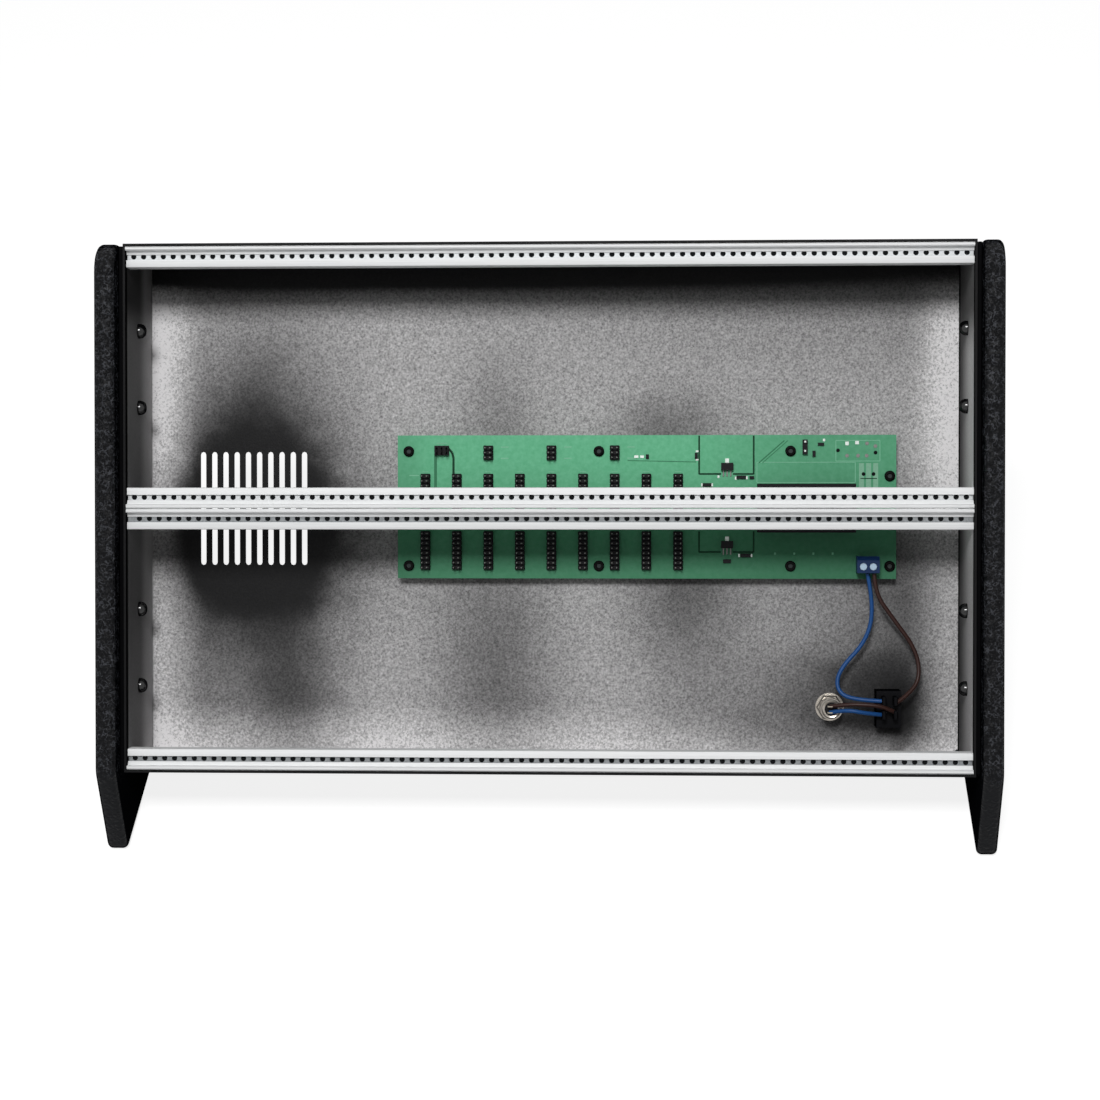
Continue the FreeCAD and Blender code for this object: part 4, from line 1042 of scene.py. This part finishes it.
@dataclass
class Rails:
    """Four drawn rails with their threaded strips."""

    paint: Paintbox
    lip_height: float = 2.7
    lip_width: float = 2.1
    lip_side: float = 5.275
    lip_foot: float = 0.2
    soft: float = 0.6
    edge: float = 0.65
    chamfer: float = 1.0
    depth: float = 9.5
    bay_side: float = 5.25
    mouth: float = 2.8
    slot_width: float = 6.4
    slot_front: float = 1.3
    slot_depth: float = 2.3
    back_cut: float = 1.0
    back_width: float = 3.0
    lead: float = 0.15
    hole_radius: float = 1.4
    hole_rise: float = 0.35
    hole_sides: int = 12
    strip_front: float = 1.62
    strip_back: float = 3.58
    strip_half: float = 3.05
    strip_end: float = 214.1
    strip_bevel: float = 0.1
    shade_front: float = 2.1
    shade_length: float = 1.2
    shade_gap: float = 0.02
    rails: dict[str, tuple[float, int]] = field(default_factory=lambda: {
        "upper_top": (SCREW_ROW, 1), "upper_bottom": (NEAR_ROW, -1),
        "lower_top": (-NEAR_ROW, 1), "lower_bottom": (-SCREW_ROW, -1)})

    def about_lead(self, width: float) -> tuple[float, float]:
        """Both sides of a groove whose middle lies the lead below the screw row."""
        return -width / 2 - self.lead, width / 2 - self.lead

    def section(self, row: float, way: int) -> np.ndarray:
        """The rail's outline in YZ.

        Args:
            row: Height of its screw row.
            way: 1 where the lip lies above the row, -1 below.

        Returns:
            Array (n, 2).
        """
        bay, tip, lip = -self.bay_side, -self.lip_height, self.lip_side - self.lip_width
        back, front = self.depth - self.back_cut, self.slot_front
        floor = self.slot_front + self.slot_depth
        cut_low, cut_high = self.about_lead(self.back_width)
        mouth_low, mouth_high = self.about_lead(self.mouth)
        slot_low, slot_high = self.about_lead(self.slot_width)
        nip = self.edge * 0.3
        profile = [
            (0.0, bay + self.edge), (nip, bay + nip), (self.edge, bay),
            (self.depth - self.soft, bay), (self.depth, bay + self.soft),
            (self.depth, cut_low), (back, cut_low), (back, cut_high), (self.depth, cut_high),
            (self.depth, self.lip_side), (tip + self.soft, self.lip_side),
            (tip, self.lip_side - self.soft), (tip, lip + self.soft), (tip + self.soft, lip),
            (self.lip_foot, lip), (self.chamfer, mouth_high),
            (front, mouth_high), (front, slot_high), (floor, slot_high),
            (floor, slot_low), (front, slot_low), (front, mouth_low), (0.0, mouth_low),
        ]
        points = np.array(profile) * (1, way) + (0, row)
        return points if way > 0 else points[::-1]

    def holes(self, name: str) -> np.ndarray:
        """Middles along X of a strip's holes.

        The strip just below the middle has one hole less, so its holes sit half a unit along.

        Args:
            name: Name of the rail.

        Returns:
            Array of places in millimetres.
        """
        count = UNITS - 1 if name == "lower_top" else UNITS
        return (np.arange(count) - (count - 1) / 2) * UNIT

    def strip(self, row: float, places: np.ndarray) -> Shape:
        """A flat strip with a row of round holes.

        Each hole has a square cell one panel unit wide. A ring of quads runs from the cell's
        edge to the hole, on the front and on the back, and a short tube joins the two. Plain
        blocks fill the ends.

        Args:
            row: Height of its screw row.
            places: Middles of the holes along X.

        Returns:
            The shape.
        """
        front, back = self.strip_front, self.strip_back
        turn = (np.arange(self.hole_sides) + 0.5) * 2 * pi / self.hole_sides
        circle = np.stack([np.cos(turn), np.sin(turn)], axis=1)
        hole = circle * self.hole_radius + (0.0, self.hole_rise)
        reach = (np.abs(circle) / (UNIT / 2, self.strip_half)).max(axis=1, keepdims=True)
        cell = circle / reach
        loops = [(cell, back), (cell, front), (hole, front), (hole, back), (cell, back)]
        points = np.vstack([np.column_stack([ring[:, 0], np.full(len(ring), y), ring[:, 1]])
                            for ring, y in loops])
        faces = grid_faces(len(loops), self.hole_sides, True)
        one = Shape(points, [tuple(reversed(face)) for face in faces])
        cells = copies(one, np.column_stack([places, np.zeros(len(places)),
                                             np.full(len(places), row)]))
        last = places[-1] + UNIT / 2
        plain = block((self.strip_end - last, back - front, 2 * self.strip_half),
                      self.strip_bevel)
        middle = (self.strip_end + last) / 2
        ends = np.array([(side * middle, (front + back) / 2, row) for side in (-1, 1)])
        return cells + copies(plain, ends)

    def build(self) -> None:
        """Make the rails and strips, with shade in the holes."""
        inside = self.hole_radius - self.shade_gap
        shade = turned([(CORE, 0.0), (inside, 0.0), (inside, self.shade_length),
                        (CORE, self.shade_length)], self.hole_sides)
        for name, (row, way) in self.rails.items():
            rail = drawn(self.section(row, way), -INSIDE, INSIDE)
            make("rail_%s_drawn" % name, rail, self.paint[Finish.RAIL],
                 ["rail_" + name])
            places = self.holes(name)
            # The two lower strips take the darker zinc copy: painted shade under the lips.
            tone = Finish.SHADED_STRIP if name.startswith("lower") else Finish.STRIP
            make("strip_%s_tapped" % name, self.strip(row, places), self.paint[tone],
                 ["strip_" + name], smooth=False)
            # Near-black discs in the strips' holes are painted shade.
            depths = np.column_stack([places, np.full(len(places), self.shade_front),
                                      np.full(len(places), row + self.hole_rise)])
            make("strip_%s_threads" % name, copies(shade, depths), self.paint[Finish.HOLE_SHADE],
                 smooth=False)


@dataclass
class Board:
    """The bus board: its pins, screws, pads and marks, and the finish of its other parts."""

    paint: Paintbox
    pitch: float = 16.62
    pin: float = 2.54
    pin_side: float = 0.64
    pin_tip: float = 8.5
    pin_bevel: float = 0.12
    base: float = 2.5
    cell_bevel: float = 0.35
    upper_top: float = 18.3
    lower_top: float = -11.9
    small_row: float = 29.3
    jumper: Place = (-57.8, 30.5)
    jumper_rise: float = 5.5
    jumper_pin: Size = (0.8, 6.0, 0.8)
    tips: tuple[Place, ...] = ((132.7, 30.1), (132.7, 34.9))
    tip_rise: float = 2.7
    tip: Size = (1.1, 0.8, 1.1)
    tip_bevel: float = 0.15
    outline_width: float = 0.35
    run_width: float = 0.9
    screws: tuple[Place, ...] = (
        (-75.3, 30.1), (24.95, 30.1), (125.2, 30.1), (176.8, 17.0),
        (-75.3, -30.1), (24.95, -30.1), (125.2, -30.1), (176.8, -30.1))
    screw_head: Profile = (
        (CORE, -0.7), (1.25, -0.7), (1.35, -2.0), (1.7, -2.2), (2.4, -1.9), (2.8, -1.1),
        (2.8, 0.0), (CORE, 0.0))
    screw_socket: Profile = ((CORE, -0.85), (1.2, -0.85), (1.2, -0.4), (CORE, -0.4))
    small_marks: tuple[Stroke, ...] = (
        (-60.6, 34.4, -55.0, 34.4, 0.5), (-75.0, 17.4, -70.0, 17.4, 0.5))
    printed_boxes: tuple[Box, ...] = ((148.8, 24.8, 171.7, 35.6), (107.7, 13.6, 158.9, 24.2))
    covered_runs: tuple[Stroke, ...] = (
        (-61.2, 28.0, -61.2, 9.8, 1.5), (108.7, 23.9, 122.0, 35.6, 0.6),
        (110.6, 23.9, 123.9, 35.6, 0.4), (40.0, 25.2, 76.0, 24.4, 0.4))
    lone_runs: tuple[Stroke, ...] = (
        (-54.4, 31.6, -52.4, 29.4, 1.2), (-52.4, 29.4, -51.7, 26.6, 1.2),
        (-51.7, 26.6, -51.7, 10.4, 1.2), (161.6, 15.7, 170.2, 15.7, 0.5))
    pads: tuple[Box, ...] = (
        (154.6, 34.0, 1.9, 2.0), (159.8, 34.4, 2.0, 1.8), (44.6, 27.2, 2.2, 1.4),
        (47.6, 27.2, 2.0, 1.4), (96.6, 15.9, 0.9, 1.7), (102.4, 16.1, 0.9, 1.7),
        (79.0, 12.4, 0.9, 1.7), (84.3, 12.4, 0.9, 1.7), (87.6, 16.7, 1.1, 1.3),
        (98.4, -24.6, 0.9, 1.7), (104.9, -24.6, 0.9, 1.7), (76.4, 30.0, 1.5, 0.9),
        (76.4, 25.6, 1.5, 0.9), (142.6, 35.8, 1.2, 1.4))
    rings: tuple[Place, ...] = (
        (154.6, 27.6), (160.3, 27.6), (164.8, 27.6), (165.0, 34.0), (169.3, 32.6))
    ring: Profile = ((0.55, -0.25), (0.95, -0.25), (1.0, -0.15), (1.0, 0.0), (0.55, 0.0))
    holes: tuple[Place, ...] = ((149.9, 30.4), (169.4, 29.2), (163.2, 18.0), (168.4, 18.0))
    hole: Profile = ((CORE, -0.2), (1.0, -0.2), (1.0, 0.0), (CORE, 0.0))

    def front_of(self, places: Sequence[Place], rise: float) -> np.ndarray:
        """Points at a rise in front of the board's face, each over an x and z."""
        x, z = np.array(places).T
        return np.column_stack([x, np.full(len(places), BOARD_FACE - rise), z])

    def tall_cells(self) -> list[Place]:
        """Cells of the tall headers: two rows of nine headers with eight pairs of pins each.

        Returns:
            X and z of each cell's middle.
        """
        return [(column * self.pitch, top - (row + 0.5) * self.pin)
                for top in (self.upper_top, self.lower_top) for column in range(-4, 5)
                for row in range(8)]

    def small_cells(self) -> list[Place]:
        """Cells of the three small headers above them, with three pairs of pins each.

        Returns:
            X and z of each cell's middle.
        """
        return [(column * self.pitch, self.small_row + row * self.pin)
                for column in (-2, 0, 2) for row in (-1, 0, 1)]

    def headers(self) -> None:
        """Square pins, and under each pair of pins one chamfered cell of a moulded base."""
        tall, small = self.tall_cells(), self.small_cells()
        one = block((self.pin_side, self.pin_tip - self.base, self.pin_side), self.pin_bevel)
        places = [(x + side * self.pin / 2, z) for x, z in tall + small for side in (-1, 1)]
        make("header_pins", copies(one, self.front_of(places, (self.pin_tip + self.base) / 2)),
             self.paint[Finish.PIN], smooth=False)
        cell = block((2 * self.pin, self.base, self.pin), self.cell_bevel)
        for name, cells, nodes in (
                ("header_mouldings", tall, ["headers_upper", "headers_lower"]),
                ("small_mouldings", small, ["small_headers"])):
            make(name, copies(cell, self.front_of(cells, self.base / 2)),
                 self.paint[Finish.PLUG], nodes, smooth=False)

    def screw_heads(self) -> None:
        """Round heads with a round socket, whose bottom is worn a little paler."""
        places = self.front_of(self.screws, 0.0)
        make("board_screw_heads", copies(turned(self.screw_head, 20), places),
             self.paint[Finish.BOARD_SCREW], ["board_screws"])
        make("board_screw_sockets", copies(turned(self.screw_socket, 12), places),
             self.paint[Finish.SOCKET], smooth=False)

    def strokes(self, name: str, finish: Finish, lines: Sequence[Stroke],
                height: float) -> None:
        """Thin flat bars on the board's face.

        Args:
            name: Name of the piece.
            finish: Its finish.
            lines: For each, x and z of both ends of its middle line, and its width.
            height: Thickness above the board.
        """
        shape = Shape(np.empty((0, 3)), [])
        for x0, z0, x1, z1, width in lines:
            along = np.array([x1 - x0, z1 - z0])
            length = float(np.linalg.norm(along))
            along /= length
            one = block((length, height, width), min(height, width) * 0.2)
            x, y, z = one.points.T
            middle = ((x0 + x1) / 2, BOARD_FACE - height / 2, (z0 + z1) / 2)
            one.points = np.column_stack([x * along[0] - z * along[1], y,
                                          x * along[1] + z * along[0]]) + middle
            shape = shape + one
        make(name, shape, self.paint[finish], smooth=False)

    def patches(self, name: str, finish: Finish, boxes: Sequence[Box],
                height: float) -> None:
        """Thin flat rectangles on the board, each by its middle x and z, width and height."""
        self.strokes(name, finish, [(x - width / 2, z, x + width / 2, z, tall)
                                          for x, z, width, tall in boxes], height)

    def outline(self, left: float, low: float, right: float, high: float) -> list[Stroke]:
        """A rectangle's outline.

        Args:
            left: Smaller x.
            low: Smaller z.
            right: Larger x.
            high: Larger z.

        Returns:
            Its four strokes.
        """
        return [(x0, z0, x1, z1, self.outline_width) for x0, z0, x1, z1 in (
            (left, low, right, low), (left, high, right, high),
            (left, low, left, high), (right, low, right, high))]

    def marks(self) -> None:
        """Pads, dark runs and plain printed outlines."""
        above = self.upper_top + 1.0
        faint = [(x - 1.6, above, x + 1.6, above, self.outline_width)
                 for x in np.arange(-4, 5) * self.pitch]
        faint += [(x + 6.6, self.small_row + z, x + 10.6, self.small_row + z, 0.6)
                  for x in (-33.24, 0.0, 33.24) for z in (3.0, -2.9)]
        faint += [(x, -24.2, x, -23.0, 1.0) for x in (117.2, 127.2, 137.2, 147.2)]
        faint += self.small_marks
        for box in self.printed_boxes:
            faint += self.outline(*box)
        self.strokes("faint_print", Finish.FAINT, faint, 0.1)
        pale = [(x, 10.9, x, 23.7, 2.6) for x in (162.1, 165.8, 169.5)]
        self.strokes("printed_marks", Finish.MARK, pale, 0.12)
        self.strokes("covered_runs", Finish.COVERED, self.covered_runs, 0.12)
        runs = [(*run, self.run_width) for top, low, foot in ((38.2, 17.9, 18.1),
                                                              (-12.0, -23.0, -22.8))
                for run in ((77.5, top, 77.5, low), (106.0, top, 106.0, low),
                            (77.5, foot, 89.0, foot), (95.2, foot, 106.0, foot))]
        self.strokes("dark_runs", Finish.TRACE, [*runs, *self.lone_runs], 0.14)
        legs = [(92.1 + side * 1.9, row - 3.6, 0.8, 3.4)
                for row in (22.0, -18.9) for side in (-1, 0, 1)]
        self.patches("regulator_legs", Finish.PIN, legs, 0.5)
        self.patches("tinned_pads", Finish.PAD, self.pads, 0.3)
        make("ring_pads", copies(turned(self.ring, 14), self.front_of(self.rings, 0.0)),
             self.paint[Finish.PIN])
        # Dark discs at the plated holes are painted shade.
        make("plated_hole_shade", copies(turned(self.hole, 14), self.front_of(self.holes, 0.0)),
             self.paint[Finish.HOLE_SHADE], smooth=False)

    def small_pins(self) -> None:
        """Black pins of the jumper header and bright tips of the indicator strip."""
        x, z = self.jumper
        places = [(x + column * self.pin, z + side * self.pin / 2)
                  for column in (-1, 0, 1) for side in (-1, 1)]
        make("jumper_pins", copies(block(self.jumper_pin, self.pin_bevel),
                                   self.front_of(places, self.jumper_rise)),
             self.paint[Finish.CHIP], smooth=False)
        make("indicator_tips", copies(block(self.tip, self.tip_bevel),
                                      self.front_of(self.tips, self.tip_rise)),
             self.paint[Finish.PAD], smooth=False)

    def build(self) -> None:
        """Dress the board and make its pieces."""
        self.paint.dress(Finish.BOARD, "bus_board")
        self.paint.dress(Finish.PLUG, "converter_brick", "regulator_bodies", "jumper_header",
                         "indicator_strip")
        self.paint.dress(Finish.CHIP, "board_chips")
        self.paint.dress(Finish.PAD, "regulator_tabs")
        self.paint.dress(Finish.BLUE, "terminal_block")
        self.paint.dress(Finish.PALE_BLUE, "terminal_screws")
        self.paint.dress(Finish.STEEL, "board_standoffs")
        self.headers()
        self.screw_heads()
        self.marks()
        self.small_pins()


@dataclass
class WireRun:
    """One insulated wire."""

    node: str
    points: tuple[tuple[float, float, float], ...]
    length: float
    finish: Finish
    slot: str
    diameter: float = 2.2

    def build(self, paint: Paintbox) -> None:
        """Args:
            paint: The materials.
        """
        curve = bpy.data.curves.new(self.node + "_sheath", "CURVE")
        curve.dimensions = "3D"
        curve.bevel_depth = self.diameter / 2 * MILLIMETRE
        curve.bevel_resolution = 4
        curve.use_fill_caps = True
        spline = curve.splines.new("NURBS")
        places = stand(np.array(self.points))
        spline.points.add(len(places) - 1)
        spline.points.foreach_set("co", np.column_stack([places,
                                                         np.ones(len(places))]).ravel())
        spline.order_u = 3
        spline.use_endpoint_u = True
        spline.resolution_u = 10
        wire = bpy.data.objects.new(self.node + "_sheath", curve)
        bpy.context.collection.objects.link(wire)
        curve.materials.append(paint[self.finish])
        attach(wire, "cage")
        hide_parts(self.node)
        log.info("%s: %.1f mm", self.node, self.length)


WIRES = (
    WireRun("feed_wire_blue", (
        (165.0, 44.6, -33.8), (168.6, 46.6, -51.0), (165.0, 47.4, -69.0), (150.2, 47.0, -84.5),
        (149.2, 45.8, -95.0), (157.2, 43.8, -99.8), (173.4, 41.8, -100.2)),
        91.9, Finish.BLUE_WIRE, "wire_blue"),
    WireRun("feed_wire_brown", (
        (168.4, 43.4, -33.8), (168.8, 43.6, -44.0), (178.6, 46.2, -57.6), (190.2, 48.4, -73.0),
        (192.8, 47.8, -86.4), (188.4, 45.0, -95.6), (179.4, 41.8, -101.4)),
        80.9, Finish.BROWN_WIRE, "wire_brown"),
    WireRun("inlet_wire_blue", (
        (145.5, 41.5, -106.2), (154.0, 36.6, -104.2), (163.5, 36.8, -106.2),
        (173.4, 43.0, -107.4)), 30.9, Finish.BLUE_WIRE, "wire_blue"),
    WireRun("inlet_wire_brown", (
        (145.5, 41.5, -103.0), (154.5, 38.8, -101.6), (165.0, 37.6, -101.8),
        (173.0, 38.0, -102.8), (179.4, 41.8, -106.0)), 36.0, Finish.BROWN_WIRE, "wire_brown"),
)


@dataclass
class Case:
    """Folded sheets, cheeks and their screws."""

    paint: Paintbox
    screw_rows: tuple[float, ...] = (92.3, 52.4, -52.4, -92.3)
    screw_depth: float = 27.0
    outer_face: float = 228.61
    pad_face: float = 218.11
    wall_face: float = 215.51
    rim: float = 2.8
    corner_steps: int = 10
    pad_depth: float = 60.4
    pad_middle: float = 28.5
    pad_bevel: float = 0.5
    corners: tuple[Place, ...] = (
        (158.785, -85.406), (65.9, 134.7), (-12.0, 134.7), (-12.0, -134.55), (16.212, -177.993))
    radii: tuple[float, ...] = (15.0, 15.0, 15.0, 12.0, 5.0)
    dome: Profile = (
        (CORE, -2.4), (1.15, -2.4), (1.25, -3.75), (1.6, -4.0), (2.5, -3.6), (3.3, -2.7),
        (3.75, -1.5), (3.75, 0.0), (CORE, 0.0))

    def cheeks(self) -> None:
        """Side cheeks with rounded rims, and the smooth pads that they are screwed through."""
        plate = slab(self.corners, self.radii, self.pad_face, self.outer_face, self.rim,
                     self.corner_steps)
        pad = block((self.pad_face - self.wall_face, self.pad_depth, 2 * HALF_HEIGHT),
                    self.pad_bevel)
        pad = copies(pad, np.array([(self.pad_face + self.wall_face) / 2, self.pad_middle, 0.0]))
        for side in ("left", "right"):
            for stem, shape, finish, nodes in (
                    ("cheek_", plate, Finish.HAMMERED, ["cheek_" + side]),
                    ("cheek_pad_", pad, Finish.PAD_BLACK, [])):
                make(stem + side + "_moulded", mirrored(shape) if side == "left" else shape,
                     self.paint[finish], nodes)

    def side_screws(self) -> None:
        """Dome heads on the inside of the side walls."""
        head = turned(self.dome, 28)
        for side, sign in (("left", -1), ("right", 1)):
            x, y, z = head.points.T
            one = Shape(np.column_stack([sign * (INSIDE + y), -sign * x, z]), head.faces)
            offsets = np.array([(0.0, self.screw_depth, row) for row in self.screw_rows])
            make("dome_screws_" + side, copies(one, offsets), self.paint[Finish.BLACK_SCREW],
                 ["cheek_screws_" + side])

    def build(self) -> None:
        """Dress the case."""
        self.paint.dress(Finish.CASE, "case_wrap", "side_plate_left", "side_plate_right")
        self.paint.dress(Finish.STEEL, "rail_screws_left", "rail_screws_right")
        self.cheeks()
        self.side_screws()


@dataclass
class Power:
    """Inlet, switch and wires."""

    paint: Paintbox
    jack: Place = (146.3, -104.6)
    jack_front: float = 44.0
    nut_height: float = 3.0
    nut: Profile = ((5.52, 0.0), (6.2, 0.0), (7.1, 0.8), (7.1, 3.0), (5.52, 3.0))
    washer_place: float = 2.5
    washer: Profile = ((5.52, 0.0), (7.4, 0.0), (7.4, 0.5), (5.52, 0.5))
    ring: Profile = (
        (3.3, 0.6), (3.5, -0.5), (4.4, -0.7), (5.1, -0.2), (5.5, 0.5), (5.5, 1.0), (3.3, 1.0))
    core: Profile = ((CORE, -0.15), (3.4, -0.15), (3.4, 0.4), (CORE, 0.4))
    switch_column: float = 176.4
    blade_spread: float = 3.0
    blade_rows: tuple[float, ...] = (-100.2, -107.4)
    sleeve: Size = (2.2, 7.2, 5.2)
    sleeve_middle: float = 43.0
    sleeve_bevel: float = 0.5

    def inlet(self) -> None:
        """A chamfered nut on the barrel, a raised ring on its end and the dark socket body."""
        x, z = self.jack
        root = np.array([x, BACK_WALL - self.nut_height, z])
        front = np.array([x, self.jack_front, z])
        make("inlet_nut_chamfered", copies(turned(self.nut, 6), root),
             self.paint[Finish.NICKEL], ["inlet_nut"], smooth=False)
        make("inlet_washer", copies(turned(self.washer, 32), root + (0.0, self.washer_place, 0.0)),
             self.paint[Finish.NICKEL])
        make("inlet_ring", copies(turned(self.ring, 32), front), self.paint[Finish.NICKEL])
        make("inlet_body", copies(turned(self.core, 24), front), self.paint[Finish.CHIP],
             smooth=False)

    def sleeves(self) -> None:
        """Dark sleeves over the switch's blades."""
        places = np.array([(self.switch_column + side * self.blade_spread, self.sleeve_middle, row)
                           for side in (-1, 1) for row in self.blade_rows])
        make("blade_sleeves", copies(block(self.sleeve, self.sleeve_bevel), places),
             self.paint[Finish.SWITCH])

    def build(self) -> None:
        """Dress the inlet and switch and lay the wires."""
        self.paint.dress(Finish.NICKEL, "inlet_shell", "inlet_pin")
        self.paint.dress(Finish.BLADE, "inlet_lugs", "switch_blades")
        self.paint.dress(Finish.SWITCH, "switch_housing", "switch_rocker")
        self.inlet()
        self.sleeves()
        for wire in WIRES:
            wire.build(self.paint)


# Studio

@dataclass(frozen=True)
class Lamp:
    """A square soft light that faces the cage's middle, from a direction in the cage frame."""

    name: str
    towards: tuple[float, float, float]
    distance: float
    size: float
    power: float

    def build(self) -> None:
        """Hang the lamp; the distance and size are metres and the power is watts."""
        light = bpy.data.lights.new(self.name, "AREA")
        light.size = self.size
        light.energy = self.power
        lamp = bpy.data.objects.new(self.name, light)
        direction = stand_direction(self.towards).normalized()
        lamp.location = Vector(stand(np.zeros(3))) + direction * self.distance
        lamp.rotation_euler = direction.to_track_quat("Z", "Y").to_euler()
        bpy.context.collection.objects.link(lamp)


@dataclass
class Studio:
    """Floor, lamps, world and camera."""

    lamps: tuple[Lamp, ...] = (Lamp("key", (-0.06, -1.0, 0.372), 2.6, 0.5, 40.0),
                               Lamp("fill", (-0.6, -1.0, 0.05), 3.0, 2.0, 3.0))
    eye: tuple[float, float, float] = (65.27, -1205.0, 0.07)
    yaw: float = radians(3.015)
    pitch: float = radians(-0.999)
    lens: float = 78.12
    sensor: float = 36.0
    clip_end: float = 50.0
    floor_size: float = 12.0
    floor_drop: float = 0.0005
    floor_tone: float = 0.45
    floor_bounce: float = 0.3
    lit_share: float = 0.84
    ambient: float = 0.13

    @staticmethod
    def seen(net: Net) -> bpy.types.NodeSocket:
        """Rays that come from the camera straight, by a mirror or through glass.

        Args:
            net: The network to add to.

        Returns:
            1 for such a ray and 0 for any other.
        """
        path = net.add("ShaderNodeLightPath").outputs
        seen = net.plus(path["Is Camera Ray"], path["Is Glossy Ray"])
        return net.math("ADD", seen, path["Is Transmission Ray"], clamp=True)

    def floor(self) -> None:
        """A wide pale floor that looks white where it is lit and keeps the shadow."""
        mesh = bpy.data.meshes.new("floor")
        reach = self.floor_size / 2
        corners = [(x * reach, y * reach, -self.floor_drop)
                   for x, y in ((-1, -1), (1, -1), (1, 1), (-1, 1))]
        mesh.from_pydata(corners, [], [(0, 1, 2, 3)])
        floor = bpy.data.objects.new("floor", mesh)
        bpy.context.collection.objects.link(floor)
        material = bpy.data.materials.new("Pale floor")
        material.use_nodes = True
        net = Net(material.node_tree)
        net.tree.nodes.clear()
        seen = self.seen(net)
        lift = net.add("ShaderNodeEmission", {"Color": (1, 1, 1, 1),
                                              "Strength": net.times(seen, self.lit_share)})
        tone = net.mix(seen, rgba((self.floor_bounce,) * 3), rgba((self.floor_tone,) * 3))
        matt = net.add("ShaderNodeBsdfDiffuse", {"Color": tone})
        both = net.add("ShaderNodeAddShader", {0: lift.outputs[0], 1: matt.outputs[0]})
        out = net.add("ShaderNodeOutputMaterial", {0: both.outputs[0]})
        out.is_active_output = True
        mesh.materials.append(material)

    def world(self) -> None:
        """White surroundings that light the case evenly."""
        world = bpy.data.worlds.new("Studio")
        world.use_nodes = True
        bpy.context.scene.world = world
        net = Net(world.node_tree)
        net.tree.nodes.clear()
        seen = self.seen(net)
        strength = net.plus(net.times(seen, 1 - self.ambient), self.ambient)
        back = net.add("ShaderNodeBackground", {"Color": (1, 1, 1, 1), "Strength": strength})
        net.add("ShaderNodeOutputWorld", {0: back.outputs[0]})

    def camera(self) -> None:
        """The camera, given in the cage frame and turned with it."""
        forward = stand_direction((-sin(self.yaw) * cos(self.pitch),
                                   cos(self.yaw) * cos(self.pitch), sin(self.pitch)))
        right = stand_direction((cos(self.yaw), sin(self.yaw), 0.0)).normalized()
        forward.normalize()
        up = right.cross(forward)
        data = bpy.data.cameras.new("camera")
        data.lens = self.lens
        data.sensor_width = self.sensor
        data.clip_end = self.clip_end
        camera = bpy.data.objects.new("camera", data)
        turn = Matrix((right, up, -forward)).transposed()
        camera.matrix_world = Matrix.Translation(stand(np.array(self.eye))) @ turn.to_4x4()
        bpy.context.collection.objects.link(camera)
        bpy.context.scene.camera = camera

    def build(self) -> None:
        """Set the whole studio up."""
        bpy.context.scene.view_settings.view_transform = "Standard"
        self.floor()
        self.world()
        for lamp in self.lamps:
            lamp.build()
        self.camera()


def main() -> None:
    """Build every sub-assembly in order."""
    logging.basicConfig(level=logging.INFO, format="%(name)s: %(message)s")
    paint = Paintbox()
    for part in (Case(paint), Rails(paint), Board(paint), Power(paint), Studio()):
        log.info("building %s", type(part).__name__)
        part.build()


if __name__ == "__main__":
    main()
